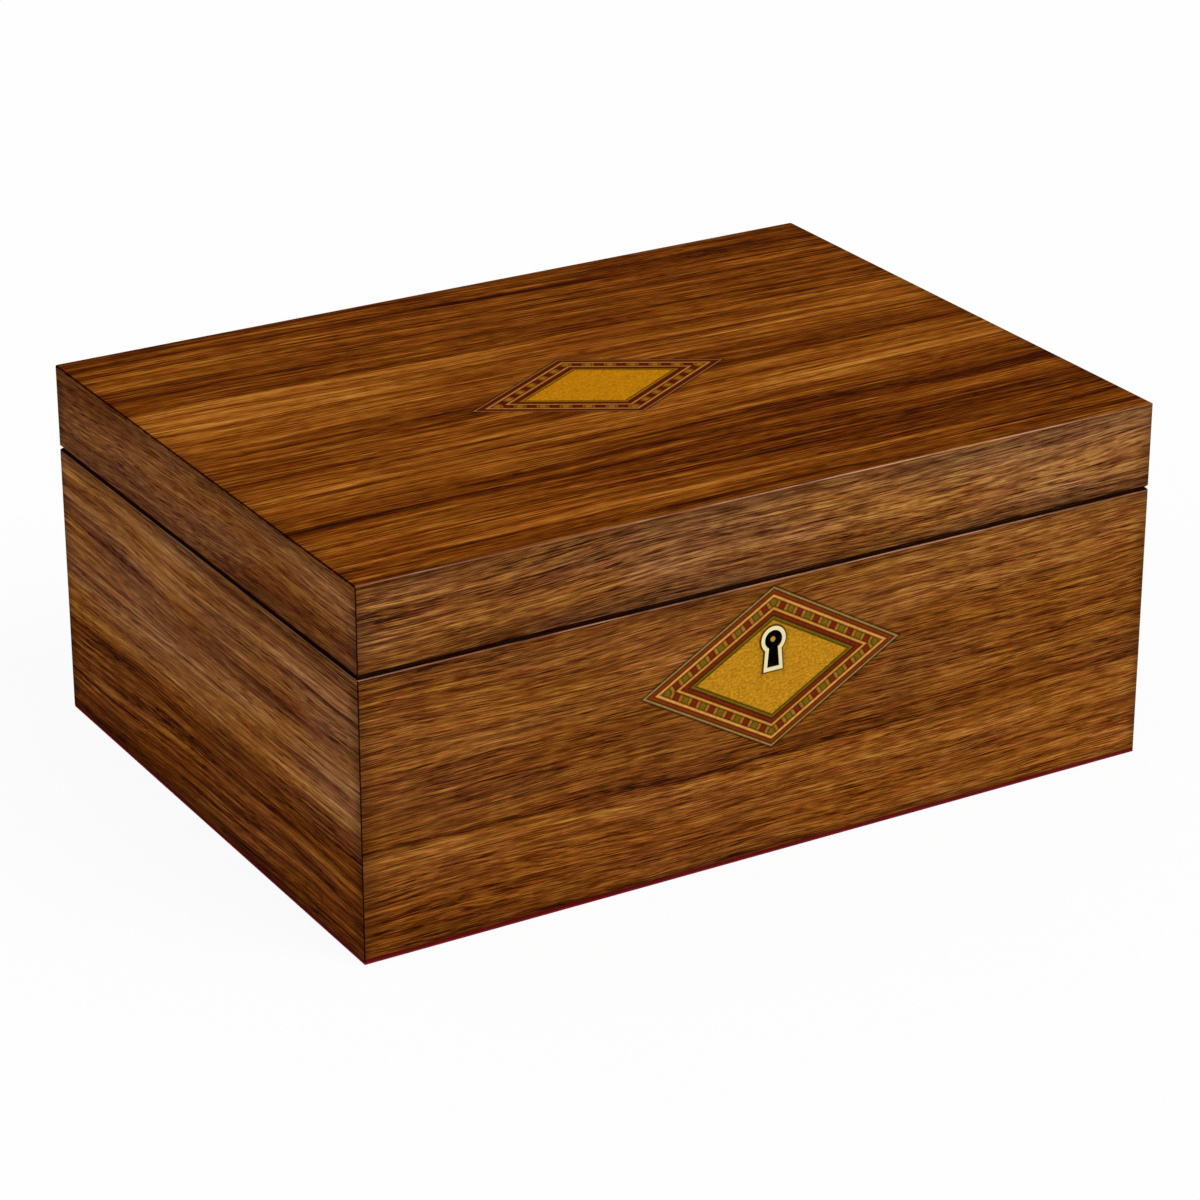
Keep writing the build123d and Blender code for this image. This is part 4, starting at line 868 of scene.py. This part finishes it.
# How long the pile of each cloth is, and how many patches of shade it has to a metre
VELVET_PILE = 0.28 * MM
FELT_PILE = 0.40 * MM
SHADE_PATCHES = 45.0

# How far in the edges of a lined board, of a pad and of a roll's end are rounded
BOARD_ROUND = 0.6 * MM
PAD_ROUND = 1.5 * MM
ROLL_ROUND = 3 * MM

# A pad's cells, the share of its height that its edge has, and how evenly its crown is spread
PAD_CELL = 6 * MM
FEWEST_CELLS = 6
MOST_CELLS = 28
PAD_EDGE = 0.35
PAD_SPREAD = 0.6

# A ring roll: the share of its section in one upright side, the size of its drawn-in ends, its sway, how
# often it sways and from where, how far a point may move as it puffs up, and its cloth
UPRIGHT = 0.2
ROLL_END = 0.80
ROLL_SWAY = 0.024 * MM
SWAY_COUNT = 17
SWAY_START = 900
ROLL_CAP = 0.8 * MM
ROLL_CLOTH = {
    "quality": 6, "mass": 0.2, "tension_stiffness": 12, "compression_stiffness": 12,
    "bending_stiffness": 0.05, "use_pressure": True, "uniform_pressure_force": 6.0,
}


def cloth_material(name, colour, pile, sheen, warp):
    """Short-piled cloth: a mottled nap with a soft sheen."""
    material, tree = new_material(name)
    shades = noise(tree, scaled(tree, own_place(tree), SHADE_PATCHES), 3.0)
    nap = noise(tree, scaled(tree, own_place(tree), 1 / pile), 3.0, 0.7, warp)
    tone = calc(tree, "ADD", calc(tree, "MULTIPLY", shades, 0.55), calc(tree, "MULTIPLY", nap, 0.45))
    dark = tuple(c * 0.55 for c in colour)
    light = tuple(min(1, c * 1.45) for c in colour)
    surface(
        tree,
        Base_Color=ramp(tree, tone, [(0.3, dark), (0.5, colour), (0.72, light)]),
        Roughness=remap(tree, nap, 0.2, 0.8, 0.8, 0.95),
        Specular_IOR_Level=0.15,
        Sheen_Weight=sheen,
        Sheen_Roughness=0.35,
        Sheen_Tint=tuple(min(1, 0.25 + c * 2) for c in colour),
        Normal=bump(tree, nap, pile * 0.5, 0.5),
    )
    return material


def crowded(share):
    """A share from 0 to 1 moved toward the nearer end, where a round needs more rows."""
    return 0.5 - 0.5 * cos(pi * share)


def rounded(near, width):
    """From 0 at an edge to 1 further in than a width, along a quarter of a circle."""
    fall = min(1, max(0, near / width))
    return (1 - (1 - fall) ** 2) ** 0.5


def soft_object(name, form):
    """A smooth object from a form, which is used up."""
    bmesh.ops.recalc_face_normals(form, faces=form.faces)
    mesh = bpy.data.meshes.new(name)
    form.to_mesh(mesh)
    form.free()
    mesh.polygons.foreach_set("use_smooth", [True] * len(mesh.polygons))
    piece = bpy.data.objects.new(name, mesh)
    bpy.context.scene.collection.objects.link(piece)
    return piece


def pad_piece(name, low, high, crown):
    """A stuffed pad in a box: flat below, rounded at its sides and fuller in its middle."""
    form = bmesh.new()
    size = high - low
    columns, rows = (max(FEWEST_CELLS, min(MOST_CELLS, round(side / PAD_CELL))) for side in size.xy)
    grid = []
    for u in (crowded(column / columns) for column in range(columns + 1)):
        line = []
        for v in (crowded(row / rows) for row in range(rows + 1)):
            x, y = low.x + size.x * u, low.y + size.y * v
            side = rounded(min(x - low.x, high.x - x, y - low.y, high.y - y), PAD_ROUND)
            middle = sin(pi * u) ** PAD_SPREAD * sin(pi * v) ** PAD_SPREAD
            z = low.z + (size.z - crown) * (PAD_EDGE + (1 - PAD_EDGE) * side) + crown * middle
            line.append(form.verts.new((x, y, z)))
        grid.append(line)
    for first, second in zip(grid, grid[1:]):
        for row in range(rows):
            form.faces.new((first[row], second[row], second[row + 1], first[row + 1]))

    # The sides drop from the rim to a flat foot
    rim = [(column, 0) for column in range(columns)] + [(columns, row) for row in range(rows)]
    rim += [(column, rows) for column in range(columns, 0, -1)] + [(0, row) for row in range(rows, 0, -1)]
    rim = [grid[column][row] for column, row in rim]
    feet = [form.verts.new((vertex.co.x, vertex.co.y, low.z)) for vertex in rim]
    for top, next_top, foot, next_foot in zip(rim, rim[1:] + rim[:1], feet, feet[1:] + feet[:1]):
        form.faces.new((top, foot, next_foot, next_top))
    form.faces.new(feet[::-1])
    return soft_object(name, form)


def roll_piece(name, low, high, steps=22, rings=40):
    """A velvet roll along X: an arched section, drawn in at its ends, with a little unevenness."""
    form = bmesh.new()
    size = high - low
    middle_y = (low.y + high.y) / 2
    half = size.y / 2
    straight = size.z - half
    sections = []
    for ring in range(rings + 1):
        u = ring / rings
        x = low.x + size.x * crowded(u)
        scale = ROLL_END + (1 - ROLL_END) * rounded(min(x - low.x, high.x - x), ROLL_ROUND)
        sway = ROLL_SWAY * sin(SWAY_COUNT * u + SWAY_START * low.y)
        section = []
        for step in range(steps + 1):
            share = step / steps
            if share < UPRIGHT:
                y, z = -half, straight * share / UPRIGHT
            elif share > 1 - UPRIGHT:
                y, z = half, straight * (1 - share) / UPRIGHT
            else:
                turn = pi * (share - UPRIGHT) / (1 - 2 * UPRIGHT)
                y, z = -half * cos(turn), straight + half * sin(turn)
            section.append(form.verts.new((x, middle_y + y * scale + sway, low.z + (z + sway) * scale)))
        sections.append(section)
    for first, second in zip(sections, sections[1:]):
        for step in range(steps):
            form.faces.new((first[step], first[step + 1], second[step + 1], second[step]))
        form.faces.new((first[steps], first[0], second[0], second[steps]))
    form.faces.new(sections[0])
    form.faces.new(sections[-1][::-1])
    return soft_object(name, form)


def solids_of(node):
    """The low and high corners of each separate solid of a CAD node, from left to right and front to back."""
    form = bmesh.new()
    form.from_mesh(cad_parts[node].data)
    bmesh.ops.remove_doubles(form, verts=form.verts, dist=1e-6)
    left, boxes = set(form.verts), []
    while left:
        stack, members = [left.pop()], []
        while stack:
            vertex = stack.pop()
            members.append(vertex.co.copy())
            joined = {edge.other_vert(vertex) for edge in vertex.link_edges} & left
            left -= joined
            stack += joined
        boxes.append([Vector([pick(values) for values in zip(*members)]) for pick in (min, max)])
    form.free()
    return sorted(boxes, key=lambda box: (round(box[0].x, 4), round(box[0].y, 4)))


def soft_piece(piece, material, node, body):
    """Dresses a soft piece, hangs it on its body and hides the CAD node that it stands in for."""
    piece.data.materials.append(material)
    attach(piece, body)
    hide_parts(node)


def swell(piece, low, high, frames=16):
    """Lets a soft piece puff up as cloth under pressure, and keeps it in its box."""
    scene = bpy.context.scene
    cloth = piece.modifiers.new("puff", "CLOTH")
    for name, value in ROLL_CLOTH.items():
        setattr(cloth.settings, name, value)
    cloth.settings.effector_weights.gravity = 0
    for frame_number in range(1, frames + 1):
        scene.frame_set(frame_number)
    puffed = piece.evaluated_get(bpy.context.evaluated_depsgraph_get()).data
    for vertex, after in zip(piece.data.vertices, [point.co.copy() for point in puffed.vertices]):
        move = after - vertex.co
        if move.length > ROLL_CAP:
            move = move * (ROLL_CAP / move.length)
        place = vertex.co + move
        vertex.co = [min(max(place[axis], low[axis]), high[axis]) for axis in range(3)]
    piece.modifiers.remove(cloth)
    scene.frame_set(1)


def soften(piece):
    """Rounds the edges of a board that is wrapped in velvet."""
    edges = piece.modifiers.new("soft edges", "BEVEL")
    edges.width = BOARD_ROUND
    edges.segments = 3
    edges.limit_method = "ANGLE"
    for polygon in piece.data.polygons:
        polygon.use_smooth = True


def turn_over(piece, low, high):
    """Turns a pad upside down inside its own box."""
    for vertex in piece.data.vertices:
        vertex.co.z = low.z + high.z - vertex.co.z
    piece.data.flip_normals()


class JEWELBOX_OT_velvet(bpy.types.Operator):
    """Lines the case, the tray and the lid with velvet pads and ring rolls, and felts the base"""

    bl_idname = "jewelbox.velvet"
    bl_label = "Velvet and felt"

    def execute(self, context):
        chosen = context.scene.jewelbox_velvet
        velvet = cloth_material("velvet", tuple(chosen.velvet), VELVET_PILE, sheen=0.5, warp=0.1)
        felt = cloth_material("felt", tuple(chosen.felt), FELT_PILE, sheen=0.15, warp=0.2)
        dress("base_felt", felt)
        for node in VELVET_NODES:
            dress(node, velvet)
            soften(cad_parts[node])
        for node, body in (("floor_pads", "case"), ("tray_pads", "tray"), ("lid_lining", "lid")):
            for index, (low, high) in enumerate(solids_of(node)):
                pad = pad_piece(node + "_velvet_" + str(index + 1), low, high, chosen.crown)
                if node == "lid_lining":
                    turn_over(pad, low, high)
                soft_piece(pad, velvet, node, body)
        for index, (low, high) in enumerate(solids_of("ring_rolls")):
            roll = roll_piece("ring_roll_velvet_" + str(index + 1), low, high)
            swell(roll, low, high)
            soft_piece(roll, velvet, "ring_rolls", "tray")
        return {"FINISHED"}


# Stage

CAMERA_SENSOR = 36
LAMP_ANGLE = 0.7
FLOOR_HALF = 6.0
FLOOR_DROP = 0.2 * MM
FLOOR_COLOUR = (0.82, 0.82, 0.82, 1)
FLOOR_WHITE = 0.93
WHITE = (1, 1, 1, 1)



def white_rays(tree):
    """1 for rays from the camera, or by way of gloss or glass, and 0 for the light itself."""
    path = add(tree, "ShaderNodeLightPath")
    seen = calc(tree, "ADD", path.outputs["Is Camera Ray"], path.outputs["Is Glossy Ray"])
    return calc(tree, "ADD", seen, path.outputs["Is Transmission Ray"], clamp=True)


class JEWELBOX_OT_stage(bpy.types.Operator):
    """Sets up the pale floor, the soft studio light and the camera"""

    bl_idname = "jewelbox.stage"
    bl_label = "Stage"

    def execute(self, context):
        chosen = context.scene.jewelbox_stage
        self.make_floor(context)
        self.make_world(context, chosen)
        self.make_lamps(context, chosen)
        self.make_camera(context, chosen)
        context.scene.view_settings.view_transform = "Standard"
        return {"FINISHED"}

    def make_floor(self, context):
        """A wide pale floor that keeps a faint shadow."""
        mesh = bpy.data.meshes.new("floor")
        square = ((-1, -1), (1, -1), (1, 1), (-1, 1))
        corners = [(x * FLOOR_HALF, y * FLOOR_HALF, -FLOOR_DROP) for x, y in square]
        mesh.from_pydata(corners, [], [(0, 1, 2, 3)])
        floor = bpy.data.objects.new("floor", mesh)
        context.scene.collection.objects.link(floor)
        material, tree = new_material("pale_floor")
        matt = add(tree, "ShaderNodeBsdfDiffuse", {"Color": FLOOR_COLOUR})
        glow = add(tree, "ShaderNodeEmission", {"Color": WHITE, "Strength": 1.0})
        share = calc(tree, "MULTIPLY", white_rays(tree), FLOOR_WHITE)
        mixed = add(tree, "ShaderNodeMixShader", {0: share, 1: matt.outputs[0], 2: glow.outputs[0]})
        add(tree, "ShaderNodeOutputMaterial", {0: mixed.outputs[0]})
        mesh.materials.append(material)

    def make_world(self, context, chosen):
        """Even light from all round, and white to look at."""
        world = bpy.data.worlds.new("studio")
        world.use_nodes = True
        tree = world.node_tree
        tree.nodes.clear()
        strength = remap(tree, white_rays(tree), 0.0, 1.0, chosen.sky, 1.0, smooth=False)
        light = add(tree, "ShaderNodeBackground", {"Color": WHITE, "Strength": strength})
        add(tree, "ShaderNodeOutputWorld", {0: light.outputs[0]})
        context.scene.world = world

    def make_lamps(self, context, chosen):
        """Two broad soft lamps: one at the front right and one at the left."""
        lamps = (("key", chosen.key, (0.35, -0.60, 0.75)), ("fill", chosen.fill, (-0.75, -0.25, 0.50)))
        for name, strength, toward in lamps:
            data = bpy.data.lights.new(name + "_lamp", "SUN")
            data.energy = strength
            data.angle = LAMP_ANGLE
            lamp = bpy.data.objects.new(name + "_lamp", data)
            lamp.rotation_euler = Vector(toward).to_track_quat("Z", "Y").to_euler()
            context.scene.collection.objects.link(lamp)

    def make_camera(self, context, chosen):
        """The camera at the photograph's place and angle."""
        data = bpy.data.cameras.new("camera")
        data.lens = chosen.lens
        data.sensor_width = CAMERA_SENSOR
        camera = bpy.data.objects.new("camera", data)
        camera.location = chosen.camera_place
        camera.rotation_euler = Vector(chosen.camera_way).to_track_quat("-Z", "Y").to_euler()
        context.scene.collection.objects.link(camera)
        context.scene.camera = camera


# The add-on


class JEWELBOX_PT_panel(bpy.types.Panel):
    """Lists the finishes of the jewelry box and their settings"""

    bl_label = "Jewelry Box"
    bl_idname = "JEWELBOX_PT_panel"
    bl_space_type = "VIEW_3D"
    bl_region_type = "UI"
    bl_category = "Jewelry Box"

    def draw(self, context):
        for step, name, group in STEPS:
            box = self.layout.box()
            box.operator(step.bl_idname)
            for setting in group.__annotations__ if group else ():
                box.prop(getattr(context.scene, name), setting)


# The operators in their order, each with the name and the class of its settings
STEPS = (
    (JEWELBOX_OT_stage, "jewelbox_stage", StageSettings),
    (JEWELBOX_OT_walnut, "jewelbox_walnut", WalnutSettings),
    (JEWELBOX_OT_marquetry, "jewelbox_marquetry", MarquetrySettings),
    (JEWELBOX_OT_metal, "jewelbox_metal", MetalSettings),
    (JEWELBOX_OT_glass, None, None),
    (JEWELBOX_OT_velvet, "jewelbox_velvet", VelvetSettings),
)


def register():
    """Registers the settings, the operators and the panel."""
    for step, name, group in STEPS:
        if group:
            bpy.utils.register_class(group)
            setattr(bpy.types.Scene, name, PointerProperty(type=group))
        bpy.utils.register_class(step)
    bpy.utils.register_class(JEWELBOX_PT_panel)


def unregister():
    """Takes the panel, the operators and the settings away again."""
    bpy.utils.unregister_class(JEWELBOX_PT_panel)
    for step, name, group in reversed(STEPS):
        bpy.utils.unregister_class(step)
        if group:
            delattr(bpy.types.Scene, name)
            bpy.utils.unregister_class(group)


def main():
    """Dresses the whole box."""
    register()
    bpy.ops.jewelbox.stage()
    bpy.ops.jewelbox.walnut()
    bpy.ops.jewelbox.marquetry()
    bpy.ops.jewelbox.metal()
    bpy.ops.jewelbox.glass()
    bpy.ops.jewelbox.velvet()


if __name__ == "__main__":
    main()
